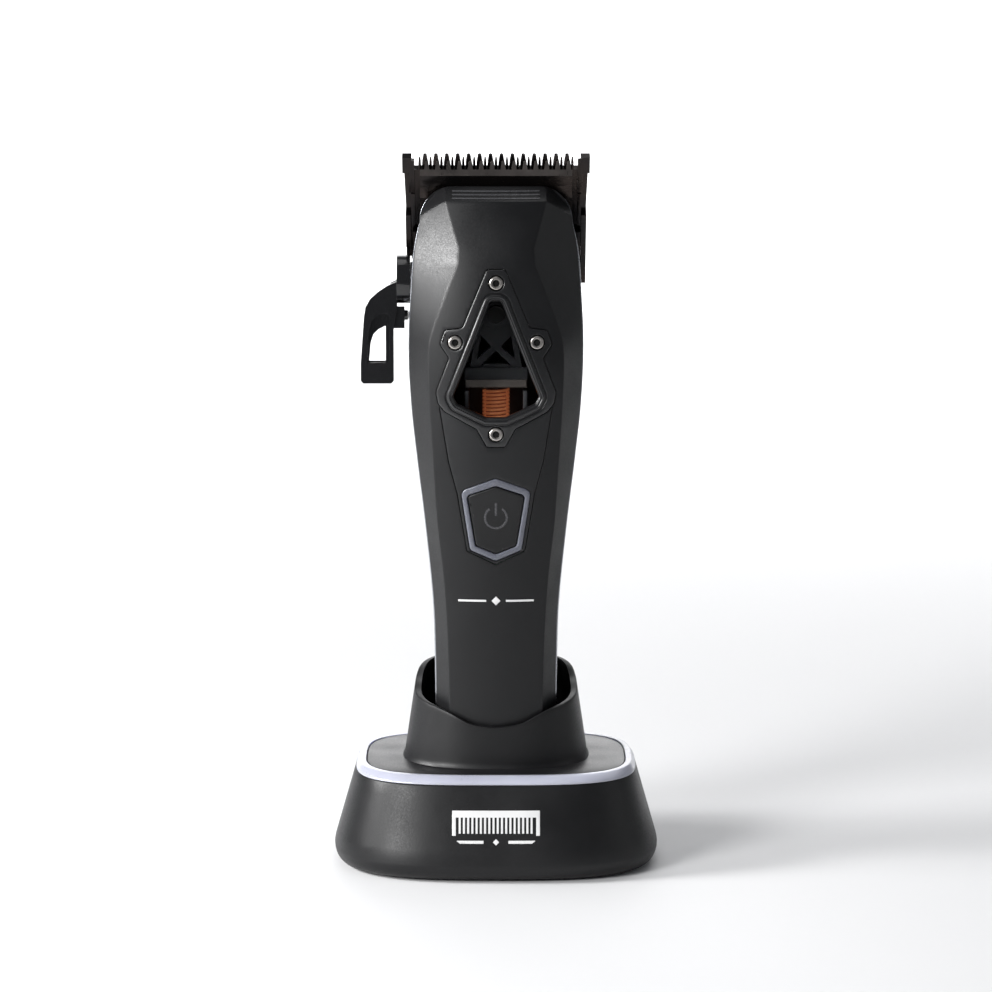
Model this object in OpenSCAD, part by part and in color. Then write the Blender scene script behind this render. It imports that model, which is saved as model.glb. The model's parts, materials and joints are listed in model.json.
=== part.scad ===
/* [Clipper body] */
// Length from the foot of the handle to the blade tips
clipper_length = 157.2; // [156.8:0.1:157.8]
// Wall thickness of the two casings
wall = 2.4; // [2.2:0.1:2.6]
// Radius of the convex front face, across the handle
face_radius = 45; // [40:1:60]
// Radius of the lithium cell
cell_radius = 8.5; // [7:0.5:8.5]

/* [Blade set] */
// Lean of the blade set from the handle's axis, in degrees
blade_lean = 29; // [28.5:0.5:29.5]
// Half of the fixed blade's width
blade_half = 22.7; // [22.5:0.1:23]
// Distance between two long teeth
tooth_pitch = 2.64; // [2.6:0.01:2.68]
// Number of long teeth
long_teeth = 14; // [12:2:14]
// Half of the cutter's stroke
half_stroke = 1.2; // [1:0.05:1.3]

/* [Charging stand] */
// Half of the stand's width at the floor
foot_half_w = 40.6; // [39:0.1:42]
// Half of the stand's depth at the floor
foot_half_d = 33.4; // [32:0.1:36]
// Height of the top deck
deck_z = 24.8; // [24:0.1:26]
// Height of the clipper's foot in the socket
seat_z = 16.7; // [16:0.1:18]

/* [Hidden] */
$fn = 48;

black = [0.05, 0.05, 0.055];
silver = [0.8, 0.8, 0.82];
steel = [0.55, 0.55, 0.56];
frost = [0.8, 0.82, 0.88, 0.9];

// Heights below are above the clipper's foot, and y is towards the back.
part_y = -4;
trim_t = 1;
shoulder_z = 141;
top_z = 149.6;
crest_z = 133.5;
chamfer_z = 146.4;

// Outlines of the handle: [height, value] knots of a smooth curve
half_knots = [[0, 14.3], [17, 14.6], [35, 14.75], [48, 15.2], [66, 16.95], [84, 19.1], [97, 20.45],
    [111, 21], [125, 20.4], [135, 19.6], [141, 18.5]];
front_knots = [[0, -13.4], [35, -14.6], [60, -16.3], [84, -18.8], [101, -20.5], [113, -20.8],
    [125, -19.9], [135, -18], [145.7, -14], [149.6, -12.2]];
back_knots = [[0, 13.4], [35, 14.8], [60, 16.8], [80, 18.9], [95, 19.6], [107, 18.8], [117, 15.8],
    [126, 11.6], [149.6, 0]];
edge_knots = [[0, -7.5], [39, -8], [79, -9], [110, -10], [133.5, -8.5], [149.6, -6]];
low_crease = [[0, 11], [38, 11.7], [54, 12.6], [69, 14.2], [83, 15.1], [98, 16], [109, 16.3], [114, 15.8],
    [124, 12.3], [133.5, 8.5]];

function segment(t, z, i = 0) = i >= len(t) - 2 || z <= t[i + 1][0] ? i : segment(t, z, i + 1);
function tangent(t, i) =
    let (a = max(i - 1, 0), b = min(i + 1, len(t) - 1)) (t[b][1] - t[a][1]) / (t[b][0] - t[a][0]);
// Cubic curve through the knots of t
function curve(t, z) =
    let (i = segment(t, z), h = t[i + 1][0] - t[i][0], u = (z - t[i][0]) / h)
        t[i][1] * (1 + 2 * u) * pow(1 - u, 2) + t[i + 1][1] * u * u * (3 - 2 * u)
        + h * tangent(t, i) * u * pow(1 - u, 2) - h * tangent(t, i + 1) * u * u * (1 - u);
function mix(a, b, u) = a + (b - a) * u;

// Half width of the handle, with its elliptical shoulder
function body_half(z) = z <= shoulder_z ? curve(half_knots, z)
    : 10.5 + 8 * sqrt(max(0, 1 - pow((z - shoulder_z) / (top_z - shoulder_z), 2)));
// Where the crease between the front face and the side facet runs
function crease(z) = z <= crest_z ? curve(low_crease, z)
    : min(mix(8.5, 12.2, (z - crest_z) / (chamfer_z - crest_z)), body_half(z) - 0.8);
function face(x, z) = curve(front_knots, z) + x * x / (2 * face_radius);
// The slope above the front face, and its corners
function chamfer(x, z) = face(x, chamfer_z) + (z - chamfer_z) * 1.9 + max(0, x - 12.1) * 1.6;
// Depth of the clipper's front surface
function skin(x, z) =
    let (c = crease(z), w = body_half(z), ax = min(abs(x), w), u = (ax - c) / (w - c))
        max(u <= 0 ? face(ax, z) : mix(face(c, z), curve(edge_knots, z), u), chamfer(ax, z));

// A point of the front surface, inset by g; x is stretched by k to find its depth
function skin_point(x, z, g, k = 1) = [x, min(skin(x * k, z) + g, part_y - 0.2), z];
// Closed outline of the handle at height z, inset by g
function body_ring(z, g) = let (
    w = body_half(z) - g, c = min(crease(z), w - 0.4), k = body_half(z) / w,
    d = curve(back_knots, z) - g - part_y, p = 2 / 2.8)
        concat(
            [for (a = [0:15:180]) [w * sign(cos(a)) * pow(abs(cos(a)), p), part_y + d * pow(sin(a), p), z]],
            [for (i = [0:3]) skin_point(mix(-w, -c, i / 3), z, g, k)],
            [for (i = [1:6]) skin_point(mix(-c, c, i / 6), z, g)],
            [for (i = [1:3]) skin_point(mix(c, w, i / 3), z, g, k)]);

// Solid through a list of rings with the same number of points
module loft(rings) {
    n = len(rings[0]);
    m = len(rings);
    polyhedron(
        points = [for (r = rings) each r],
        faces = concat(
            [[for (i = [0:n - 1]) i]],
            [for (k = [0:m - 2], i = [0:n - 1]) let (j = (i + 1) % n, a = k * n, b = a + n) each
                [[a + i, b + i, b + j], [a + i, b + j, a + j]]],
            [[for (i = [n - 1:-1:0]) (m - 1) * n + i]]));
}

heights = concat([for (z = [0:7:119]) z], [122.5, 126, 130], [133.5, 136, 138.5],
    [for (z = [141:1.3:148.8]) z], [149.6]);
module body_solid(g) loft([for (z = heights) body_ring(z, g)]);

// Slab that follows the front surface, from depth a to depth b below it
module skin_slab(z0, z1, half, a, b) {
    nx = 12;
    nz = ceil((z1 - z0) / 4);
    xs = [for (i = [0:nx]) mix(-half, half, i / nx)];
    loft([for (k = [0:nz]) let (z = mix(z0, z1, k / nz)) concat(
        [for (x = xs) [x, skin(x, z) + a, z]],
        [for (i = [nx:-1:0]) [xs[i], skin(xs[i], z) + b, z]])]);
}
// Carries a plan drawn in x and z through the front of the clipper
module through_front() translate([0, -4.8, 0]) rotate([90, 0, 0]) linear_extrude(25) children();
module clipper_place() translate([0, 0, seat_z]) children();

function mirrored(p) = concat(p, [for (i = [len(p) - 1:-1:0]) if (p[i][0] > 0.01) [-p[i][0], p[i][1]]]);
bezel_outline = mirrored([[2.2, 87.8], [4.6, 92.2], [12.3, 96.3], [13.9, 98.2], [14.4, 101], [11.2, 109.3],
    [13.4, 112.6], [12.2, 116], [8, 116.6], [2.2, 130.5]]);
window_outline = mirrored([[2.3, 94.9], [9.4, 98.2], [10.3, 99.9], [1.2, 123]]);
panel_outline = mirrored([[0, 58.7], [7, 62], [9.3, 76], [11.4, 84], [13.6, 97.6]]);
ring_outline = mirrored([[0, 59.5], [6.3, 62.2], [8.5, 76.9], [0, 80]]);
button_outline = mirrored([[0, 61.3], [4.9, 63.3], [6.9, 75.6], [0, 78]]);
bezel_holes = [[0, 127.3], [-9.8, 113.1], [9.8, 113.1], [0, 90.9]];
icon_z = 70.3;

/* ---------- clipper casings ---------- */

boss_places = [[-12.9, 76.3], [12.9, 76.3], [-14.9, 115], [14.9, 115]];
boss_r = 2.6;
lever_y = 5;
lever_z = 126.3;
shaft_r = 3;

module front_cutouts() {
    intersection() {
        through_front() offset(delta = 0.15) polygon(bezel_outline);
        skin_slab(84, 134, 17, -3, 1.5);
    }
    intersection() {
        through_front() offset(delta = 0.15) polygon(panel_outline);
        skin_slab(55, 100, 17, -3, 1.25);
    }
    through_front() offset(delta = 0.4) polygon(window_outline);
    through_front() offset(delta = 0.3) polygon(button_outline);
}

module front_shell() color(black) clipper_place() difference() {
    body_solid(0);
    difference() {
        body_solid(wall);
        bosses(boss_r, -4, -16);
    }
    bosses(0.9, 0, -12);
    translate([-50, part_y - trim_t / 2, -5]) cube([100, 60, 180]);
    front_cutouts();
}

module rear_shell() color(black) clipper_place() difference() {
    union() {
        difference() {
            body_solid(0);
            difference() {
                body_solid(wall);
                bosses(boss_r, 30, -4);
            }
            bosses(1.2, 30, -10);
            for (p = boss_places)
                translate([p[0], screw_seat(p), p[1]]) rotate([-90, 0, 0]) cylinder(r = 2.1, h = 20);
        }
        translate([boss_face, lever_y, lever_z]) rotate([0, 90, 0]) cylinder(r = 4.3, h = 2.6);
    }
    translate([-50, part_y + trim_t / 2 - 60, -5]) cube([100, 60, 180]);
    blade_place() translate([-30, -2, -38]) cube([60, 60, 60]);
    blade_place() translate([-30, -2.9, -20]) cube([60, 60, 60]);
    blade_place() translate([-10, -3.8, -27]) cube([20, 10, 12]);
    blade_place() translate([-18, -8.4, -37.8]) cube([3, 20, 12.6]);
    translate([boss_face - 5, lever_y, lever_z]) rotate([0, 90, 0]) cylinder(r = shaft_r + 0.08, h = 9);
}
// Round posts or holes for the housing screws, from depth a forward to depth b
module bosses(r, a, b) for (p = boss_places)
    translate([p[0], a, p[1]]) rotate([90, 0, 0]) cylinder(r = r, h = a - b);
// Depth of the face that a housing screw's head bears on
function screw_seat(p) = curve(back_knots, p[1]) - (p[1] > 100 ? 8.2 : 5.2);
boss_face = -20.4;

module side_trim() color(silver) clipper_place() intersection() {
    translate([0, part_y + trim_t / 2 - 0.05, 0]) rotate([90, 0, 0])
        linear_extrude(trim_t - 0.1) difference() {
            polygon(trim_outline(0.5));
            polygon(trim_outline(-1.6));
        }
    union() for (s = [-1, 1]) translate([s * 20, 0, 73.5]) cube([22, 40, 147], center = true);
}
function trim_outline(g) = concat(
    [for (z = [0:6:144]) [body_half(z) + g, z]], [[body_half(147) + g, 147], [0, 148]],
    [[-body_half(147) - g, 147]], [for (z = [144:-6:0]) [-body_half(z) - g, z]]);

module bottom_cap() color(black) clipper_place() difference() {
    intersection() {
        body_solid(wall + 0.1);
        translate([-20, -20, 0]) cube([40, 40, 3]);
    }
    for (s = [-1, 1]) translate([s * 5, 0, -1]) cylinder(r = 1.85, h = 5);
}
module charging_pads() color("gold") clipper_place()
    for (s = [-1, 1]) translate([s * 5, 0, 0.3]) cylinder(r = 1.8, h = 2.2);
module housing_screws() color(steel) clipper_place() for (p = boss_places)
    translate([p[0], screw_seat(p) + 0.05, p[1]]) rotate([90, 0, 0]) difference() {
        union() {
            translate([0, 0, -1.6]) cylinder(r = 2, h = 1.6);
            cylinder(r = 0.85, h = screw_seat(p) + 10.5);
        }
        translate([0, 0, -2]) cylinder(r = 0.9, h = 1.4, $fn = 6);
    }

/* ---------- window, panel and button ---------- */

module centre_panel() color([0.04, 0.04, 0.045]) clipper_place() difference() {
    intersection() {
        through_front() difference() {
            polygon(panel_outline);
            offset(delta = 0.15) polygon(bezel_outline);
            offset(delta = 0.1) polygon(ring_outline);
        }
        skin_slab(55, 100, 16, 0, 1.2);
    }
}
module window_bezel() color(black) clipper_place() difference() {
    intersection() {
        through_front() difference() {
            polygon(bezel_outline);
            polygon(window_outline);
        }
        skin_slab(84, 134, 16, -0.3, 1.45);
    }
    for (p = bezel_holes) translate([p[0], -5, p[1]]) rotate([90, 0, 0]) cylinder(r = 1.75, h = 30);
}
module window_lens() color([0.3, 0.3, 0.32, 0.3]) clipper_place() intersection() {
    through_front() offset(delta = 0.8) polygon(window_outline);
    skin_slab(90, 127, 14, 2.7, 3.6);
}
module bezel_screws() color(silver) clipper_place() for (p = bezel_holes)
    translate([p[0], skin(p[0], p[1]) + 0.9, p[1]]) rotate([90, 0, 0]) difference() {
        cylinder(r = 1.65, h = 1.4);
        translate([0, 0, 0.5]) cylinder(r = 0.8, h = 2, $fn = 6);
    }
module button_light_ring() color(frost) clipper_place() intersection() {
    through_front() difference() {
        polygon(ring_outline);
        offset(delta = 0.15) polygon(button_outline);
    }
    skin_slab(57, 82, 11, -0.15, 1.2);
}
module power_button() color(black) clipper_place() {
    intersection() {
        through_front() polygon(button_outline);
        skin_slab(58, 80, 9, 0, 2);
    }
    translate([0, skin(0, icon_z) + 1.5, icon_z]) rotate([-90, 0, 0]) cylinder(r = 1.5, h = 2.5);
}

/* ---------- electronics ---------- */

board_y = -11;
module circuit_board() color([0.05, 0.25, 0.12]) clipper_place() difference() {
    translate([-8.5, board_y, 40]) cube([17, 1.2, 37.5]);
    translate([0, board_y - 1, 43]) rotate([-90, 0, 0]) cylinder(r = 1, h = 4);
}
module power_switch() color([0.2, 0.2, 0.2]) clipper_place() {
    translate([-3, board_y - 1.4, icon_z - 3]) cube([6, 1.4, 6]);
}
cell_y = 1.2;
module battery_cell() color([0.15, 0.3, 0.6]) clipper_place() translate([0, cell_y, 8]) {
    cylinder(r = cell_radius, h = 64);
    translate([0, 0, 64]) cylinder(r = 2.6, h = 1);
}
module battery_cradle() color([0.12, 0.12, 0.12]) clipper_place() difference() {
    translate([0, cell_y, 5]) cylinder(r = cell_radius + 1.1, h = 69.5);
    translate([-12, cell_y - 24, 4]) cube([24, 24, 72]);
    translate([0, cell_y, 7.8]) cylinder(r = cell_radius + 0.1, h = 64.4);
    translate([0, cell_y, 70]) cylinder(r = 3, h = 3);
    translate([-12, cell_y - 3, 18]) cube([24, 20, 42]);
}

/* ---------- motor ---------- */

motor_y = -3;
pivot_z = 119;
finger_z = 143;
plate_z = 103.1;
module motor_frame() color([0.1, 0.1, 0.1]) clipper_place() difference() {
    union() {
        translate([-10, 4.2, 78]) cube([20, 2, 48]);
        translate([-10, motor_y - 7, 78]) cube([20, 15, 2.5]);
    }
    translate([0, -20, pivot_z]) rotate([-90, 0, 0]) cylinder(r = 1.55, h = 40);
    translate([-6, 0, 106]) cube([12, 20, 8]);
}
module stator_yoke() color(silver) clipper_place() {
    translate([-7.6, motor_y - 6, 80.5]) cube([15.2, 12, 2]);
    for (s = [-1, 1]) translate([s * 7.1 - 0.5, motor_y - 6, 82.5]) cube([1, 12, 17.8]);
    translate([0, motor_y, 82.5]) cylinder(r = 2, h = 17.8);
}
coil_low = 84.7;
coil_turns = 17;
coil_pitch = 0.95;
module coil_bobbin() color([0.08, 0.08, 0.08]) clipper_place() translate([0, motor_y, 0]) difference() {
    union() {
        translate([0, 0, 82.6]) cylinder(r = 5, h = 1.5);
        translate([0, 0, 82.6]) cylinder(r = 2.5, h = 18);
        translate([0, 0, 100.4]) cylinder(r = 3.4, h = 0.25);
    }
    translate([0, 0, 80]) cylinder(r = 2.05, h = 22);
}
module coil_winding() color([0.8, 0.4, 0.15]) clipper_place() translate([0, motor_y, coil_low])
    rotate_extrude() union() {
        translate([2.55, -0.2]) square([0.4, (coil_turns - 1) * coil_pitch + 0.4]);
        for (i = [0:coil_turns - 1]) translate([2.95, i * coil_pitch]) circle(r = 0.42);
    }
module pivot_pin() color(steel) clipper_place() translate([0, -11.2, pivot_z]) rotate([-90, 0, 0]) union() {
    cylinder(r = 2.2, h = 0.8);
    cylinder(r = 1.5, h = 17.2);
}
module swing_arm() color([0.09, 0.09, 0.1]) clipper_place() difference() {
    union() {
        translate([-7.6, motor_y - 7, plate_z]) cube([15.2, 12, 2.9]);
        translate([-3, motor_y - 6.7, plate_z + 2.5]) cube([6, 3, 1.3]);
        translate([0, -5.8, 0]) rotate([90, 0, 0]) linear_extrude(3.2) arm_plan();
        translate([0, -3, pivot_z]) rotate([90, 0, 0]) cylinder(r = 3.6, h = 7);
    }
    translate([0, -20, pivot_z]) rotate([-90, 0, 0]) cylinder(r = 1.55, h = 30);
    translate([0, -20, finger_z]) rotate([-90, 0, 0]) cylinder(r = 1, h = 30);
}
module arm_plan() difference() {
    polygon(mirrored([[6.5, 105], [3, 124], [2.4, 144.4]]));
    polygon([[-3.6, 106.5], [3.6, 106.5], [0, 110]]);
    polygon([[-4.6, 108], [-1.2, 111], [-3.6, 113.6]]);
    polygon([[4.6, 108], [1.2, 111], [3.6, 113.6]]);
}
module armature_magnet() color(steel) clipper_place()
    translate([-7.5, motor_y - 7, plate_z - 2]) cube([15, 12, 2]);
module drive_finger() color([0.85, 0.85, 0.82]) clipper_place()
    translate([0, -9.6, finger_z]) rotate([-90, 0, 0]) {
        cylinder(r = 0.98, h = 4.6);
        translate([0, 0, 4.6]) cylinder(r = 1.9, h = 2.3);
    }

/* ---------- blade set: z down from the tips, -y towards the front of the clipper ---------- */

module blade_place() translate([0, -6, clipper_length]) rotate([blade_lean, 0, 0]) children();

root_s = 4.2;
rail_in = 19.75;
cutter_half = rail_in - half_stroke - 0.1;
// Plan of one tooth: it narrows to a round tip at height -tip
module tooth(x, width, tip) {
    translate([x, 0]) polygon(mirrored([[width / 2, -root_s - 0.5], [width * 0.46, -tip - width * 1.4],
        [width * 0.3, -tip - width * 0.4]]));
    translate([x, -tip - width * 0.3]) circle(d = width * 0.6, $fn = 24);
}
module fixed_plan() {
    polygon(mirrored([[20.7, -30], [20.7, -16], [21.9, -16], [22.3, -root_s], [rail_in, -root_s]]));
    for (i = [0:long_teeth - 1]) tooth((i - (long_teeth - 1) / 2) * tooth_pitch, 1.6, 0);
    for (i = [0:long_teeth]) tooth((i - long_teeth / 2) * tooth_pitch, 0.7, 1.2);
    for (s = [-1, 1]) translate([s * (blade_half - 1.15), -root_s / 2]) square([2.3, root_s], center = true);
}
module fixed_blade() color(black) clipper_place() blade_place() difference() {
    union() {
        intersection() {
            translate([0, 2.6, 0]) rotate([90, 0, 0]) linear_extrude(2.6) fixed_plan();
            rotate([90, 0, 90]) translate([0, 0, -30]) linear_extrude(60)
                polygon([[0, 0.1], [0.8, 0.1], [2.6, -6], [2.6, -31], [0, -31]]);
        }
        for (s = [-1, 1]) {
            translate([s * (blade_half - 1.15) - 1.15, -1.3, -4.4]) cube([2.3, 1.9, 4.4]);
            translate([s * (rail_in + 0.7) - 0.7, -1.2, -10]) cube([1.4, 1.3, 9]);
            translate([s * (rail_in + 0.45) - 0.45, -1.2, -19.5]) cube([0.9, 1.3, 9.1]);
        }
    }
    for (s = [-1, 1]) translate([s * 11, -3, -25]) rotate([-90, 0, 0]) cylinder(r = 1.6, h = 8);
    for (s = [-1, 1]) translate([s * 11, 1.2, -25]) rotate([-90, 0, 0]) cylinder(r = 3, h = 8);
    translate([-6, -1, -22]) cube([12, 5, 4]);
}
module blade_screws() color(steel) clipper_place() blade_place() for (s = [-1, 1])
    translate([s * 11, 2.5, -25]) rotate([90, 0, 0]) difference() {
        union() {
            cylinder(r = 2.8, h = 1.2);
            cylinder(r = 1.4, h = 4.2);
        }
        translate([-3, -0.4, -1]) cube([6, 0.8, 1.6]);
    }
module tension_spring() color(steel) clipper_place() blade_place() {
    translate([-9, -2.6, -25]) cube([18, 0.75, 3.6]);
    for (s = [-1, 1]) translate([s * 8.2 - 0.8, -2.7, -22]) cube([1.6, 0.75, 6]);
}
cam_throw = 1.5;
// The eccentric pin in the blade set's frame: down from the tips, and forward of the blades' meeting plane
pin_down = (lever_y + 6) * sin(blade_lean) + (clipper_length - lever_z) * cos(blade_lean) - cam_throw / 2;
pin_fore = (clipper_length - lever_z) * sin(blade_lean) - (lever_y + 6) * cos(blade_lean)
    - cam_throw * cos(30);
module blade_carrier() color(black) clipper_place() blade_place() difference() {
    union() {
        translate([-20.3, -1.8, -36]) cube([40.9, 1.75, 15]);
        for (s = [-1, 1]) {
            translate([s * 21.4 - 0.65, -1.8, -25.5]) cube([1.3, 5.2, 9.4]);
            translate([s * 20.3 - 1.75, 2.7, -28]) cube([3.5, 0.7, 16]);
        }
        translate([20.75, -1.8, -36]) cube([1.3, 5.2, 11]);
        translate([19.8, -1.8, -36]) cube([2.25, 4.2, 5.5]);
        translate([-22.05, 2.7, -31]) cube([2.6, 1.9, 15]);
        translate([-20.3, -1, -36]) cube([40.9, 3.4, 4.8]);
        translate([-17.4, -pin_fore - 3.5, -pin_down - 2.4]) cube([1.4, pin_fore + 1.9, 7.6]);
    }
    for (s = [-1, 1]) translate([s * 11, -5, -25]) rotate([-90, 0, 0]) cylinder(r = 1.45, h = 8);
    hull() for (d = [-0.4, 0.4]) translate([-18, -pin_fore + d, -pin_down]) rotate([0, 90, 0])
        cylinder(r = 1.3, h = 3, $fn = 32);
}
module cutter_plan() {
    translate([-cutter_half, -17]) square([2 * cutter_half, 13.6]);
    for (i = [0:long_teeth - 1]) tooth((i - (long_teeth - 1) / 2) * tooth_pitch + 0.4, 1.3, 1.4);
}
module cutter() color([0.07, 0.07, 0.075]) clipper_place() blade_place() difference() {
    intersection() {
        translate([0, -0.05, 0]) rotate([90, 0, 0]) linear_extrude(1.9) cutter_plan();
        rotate([90, 0, 90]) translate([0, 0, -30]) linear_extrude(60)
            polygon([[0, -1.3], [-0.3, -1.3], [-1.85, -4.8], [-1.85, -7.6], [-1.3, -8], [-1.3, -11.5],
                [-1.85, -12], [-1.85, -17.2], [0, -17.2]]);
    }
    translate([-3, -5, -18]) cube([6, 8, 3]);
}
module cutter_yoke() color([0.85, 0.85, 0.82]) clipper_place() blade_place() difference() {
    translate([-6, -5.7, -18.4]) cube([12, 3.8, 7.2]);
    translate([-2, -8, -20]) cube([4, 5.25, 12]);
}

/* ---------- taper lever ---------- */

module lever_place() translate([0, lever_y, seat_z + lever_z]) children();
lever_loop = [[-24.2, -0.3], [-26.6, -1.4], [-28.9, -2.9], [-30.9, -4.7], [-32, -6.7], [-32.4, -9.3],
    [-33.2, -20.5], [-33.2, -24.8], [-32.6, -25.5], [-25.7, -25.5], [-25.1, -24.8], [-25.1, -12.3],
    [-24.2, -7.3]];
lever_gap = [[-31.2, -20], [-27.1, -20], [-27.1, -11.4], [-28.9, -12.3], [-30.1, -13.5], [-30.8, -15.6]];
lever_recess = [[-31.6, -20.3], [-31.2, -13], [-30.4, -9.8], [-28.8, -8.5], [-26.8, -8.1], [-26.1, -9],
    [-26.1, -20.3]];
detent_z = -8.9;
module taper_lever() color([0.03, 0.03, 0.03]) lever_place() difference() {
    union() {
        translate([-24.3, 0, 0]) rotate([0, 90, 0]) cylinder(r = 6, h = 3.3);
        translate([0, 3.6, 0]) rotate([90, 0, 0]) linear_extrude(7.2) polygon(lever_loop);
        translate([-25.3, -3, detent_z - 3]) cube([2.9, 6, 5.4]);
    }
    translate([0, 10, 0]) rotate([90, 0, 0]) linear_extrude(20) polygon(lever_gap);
    translate([0, -1.6, 0]) rotate([90, 0, 0]) linear_extrude(5) polygon(lever_recess);
    translate([-26, 0, 0]) rotate([0, 90, 0]) cylinder(r = 2.4, h = 2.9);
    translate([-26, 0, 0]) rotate([0, 90, 0]) cylinder(r = 1.2, h = 8);
    translate([-22.5, -2, -2]) cube([3, 4, 4]);
    translate([-26, 0, detent_z]) rotate([0, 90, 0]) cylinder(r = 1.3, h = 6);
}
module lever_screw() color(steel) lever_place() translate([-24.4, 0, 0]) rotate([0, 90, 0]) difference() {
    union() {
        cylinder(r = 2.2, h = 1.2);
        cylinder(r = 1.1, h = 4.6);
    }
    translate([0, 0, -1]) cylinder(r = 0.9, h = 1.8, $fn = 6);
}
module taper_camshaft() color(steel) lever_place() difference() {
    union() {
        translate([-22.4, -1.95, -1.95]) cube([1.6, 3.9, 3.9]);
        translate([-20.8, 0, 0]) rotate([0, 90, 0]) cylinder(r = shaft_r, h = 3.1);
        cam_pin_place() cylinder(r = 1.2, h = 2);
    }
    translate([-23, 0, 0]) rotate([0, 90, 0]) cylinder(r = 1.15, h = 3.5);
}
// The eccentric pin's place, from the shaft's axis
module cam_pin_place() rotate([blade_lean, 0, 0])
    translate([-17.8, cam_throw * cos(30), cam_throw / 2]) rotate([0, 90, 0]) children();
module lever_washer() color(silver) lever_place() translate([-20.95, 0, 0]) rotate([0, 90, 0]) difference() {
    cylinder(r = 4.2, h = 0.45);
    translate([0, 0, -1]) cylinder(r = shaft_r + 0.1, h = 3);
}
module detent_screw() color(black) lever_place()
    translate([-24.9, 0, detent_z]) rotate([0, 90, 0]) difference() {
        cylinder(r = 1.25, h = 3.3);
        translate([0, 0, -1]) cylinder(r = 0.5, h = 2, $fn = 6);
    }
module detent_ball() color(silver) lever_place() translate([-21.55, 0, detent_z]) rotate([0, 90, 0])
    cylinder(r1 = 1, r2 = 0.6, h = 0.55);

/* ---------- charging stand ---------- */

// Superellipse with half axes a and b at height z, its centre at y = yc
function oval(a, b, z, m = 3, n = 48, yc = 0) = [for (i = [0:n - 1]) let (t = 360 * i / n)
    [a * sign(cos(t)) * pow(abs(cos(t)), 2 / m), yc + b * sign(sin(t)) * pow(abs(sin(t)), 2 / m), z]];
skirt_z = 23;
skirt_w = 34.6;
skirt_d = 28.8;
ring_w = 33.2;
ring_d = 26.5;
// How far the top of the stand is set back from the middle of its foot
top_y = 2;
// How square the top of the stand is in plan
top_power = 3.4;
// Outline of the skirt at height z, inset by g, with a rounded lower edge
function skirt_ring(z, g) = let (
    u = max(0, (z - 4.5) / (skirt_z - 4.5)), e = max(0, (4.5 - z) / 4), r = g + 2.8 * (1 - sqrt(1 - e * e)))
        oval(mix(foot_half_w - 0.6, skirt_w, u) - r, mix(foot_half_d - 0.6, skirt_d, u) - r, z,
            mix(3, top_power, u), 48, top_y * u);
skirt_levels = [0.8, 1.2, 1.8, 2.6, 3.5, 4.5, 10, 16, 23];
module base_skirt() color(black) difference() {
    loft([for (z = skirt_levels) skirt_ring(z, 0)]);
    loft([for (z = [2.8, 4.5, 10, 16, 21]) skirt_ring(z, 2.4)]);
    loft([for (z = [0, 3.2]) oval(foot_half_w - 6, foot_half_d - 6, z)]);
    loft([for (z = [20, 24]) oval(ring_w - 1, ring_d - 1, z, top_power, 48, top_y)]);
    translate([-4.6, 20, inlet_z - 0.1]) cube([9.2, 20, 3.6]);
}
module base_plate() color([0.08, 0.08, 0.08]) difference() {
    loft([for (z = [0.9, 2.7]) oval(foot_half_w - 6.2, foot_half_d - 6.2, z)]);
    for (p = screw_places) translate([p[0], p[1], 0]) cylinder(r = 1.3, h = 5);
    for (p = screw_places) translate([p[0], p[1], 0]) cylinder(r = 2.5, h = 1.7);
}
foot_places = [[-24, -16], [24, -16], [-24, 16], [24, 16]];
screw_places = [[-15, -19], [15, -19], [-15, 19], [15, 19]];
module rubber_feet() color([0.1, 0.1, 0.1]) for (p = foot_places)
    translate([p[0], p[1], 0]) cylinder(r = 4.5, h = 0.9);
module base_screws() color(steel) for (p = screw_places) translate([p[0], p[1], 1.1]) difference() {
    union() {
        cylinder(r = 2.3, h = 0.6);
        cylinder(r = 1.2, h = 14);
    }
    translate([0, 0, -0.4]) cylinder(r = 0.7, h = 0.8, $fn = 6);
}
module ballast_plate() color(steel) difference() {
    loft([for (z = [2.8, 6]) oval(foot_half_w - 9, foot_half_d - 8, z)]);
    for (p = screw_places) translate([p[0], p[1], 0]) cylinder(r = 1.4, h = 10);
}
function top_oval(a, b, z) = oval(a, b, z, top_power, 48, top_y);
module light_ring() color(frost) difference() {
    loft([top_oval(skirt_w, skirt_d, skirt_z + 0.05), top_oval(skirt_w - 0.2, skirt_d - 0.2, skirt_z + 0.5),
        top_oval(ring_w, ring_d, deck_z + 0.1)]);
    loft([for (z = [20, 30]) top_oval(ring_w - 1, ring_d - 1, z)]);
}
module ring_leds() color("white") for (a = [30:60:330])
    translate([27.5 * cos(a), 20.5 * sin(a), 19.1]) rotate([0, 0, a]) cube([3, 3, 1.2], center = true);
module charging_board() color([0.05, 0.25, 0.12]) difference() {
    loft([for (z = [17, 18.5]) oval(30.2, 23.4, z)]);
    loft([for (z = [10, 20]) oval(19.2, 18.2, z)]);
    deck_posts(2.8, 10, 20);
}
module top_deck() color(black) difference() {
    union() {
        loft([for (z = [21.4, deck_z]) top_oval(ring_w - 1.2, ring_d - 1.2, z)]);
        deck_posts(2.6, 6.1, 22);
    }
    loft([for (z = [10, 30]) oval(17.9, 17.1, z, cup_power, 48, 0.6)]);
    deck_posts(1.25, 5, 18);
}
module deck_posts(r, a, b) for (p = screw_places) translate([p[0], p[1], a]) cylinder(r = r, h = b - a);
socket_floor = 13;
// How square the inside of the cup is in plan: 2 would be an ellipse
cup_power = 2.8;
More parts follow.
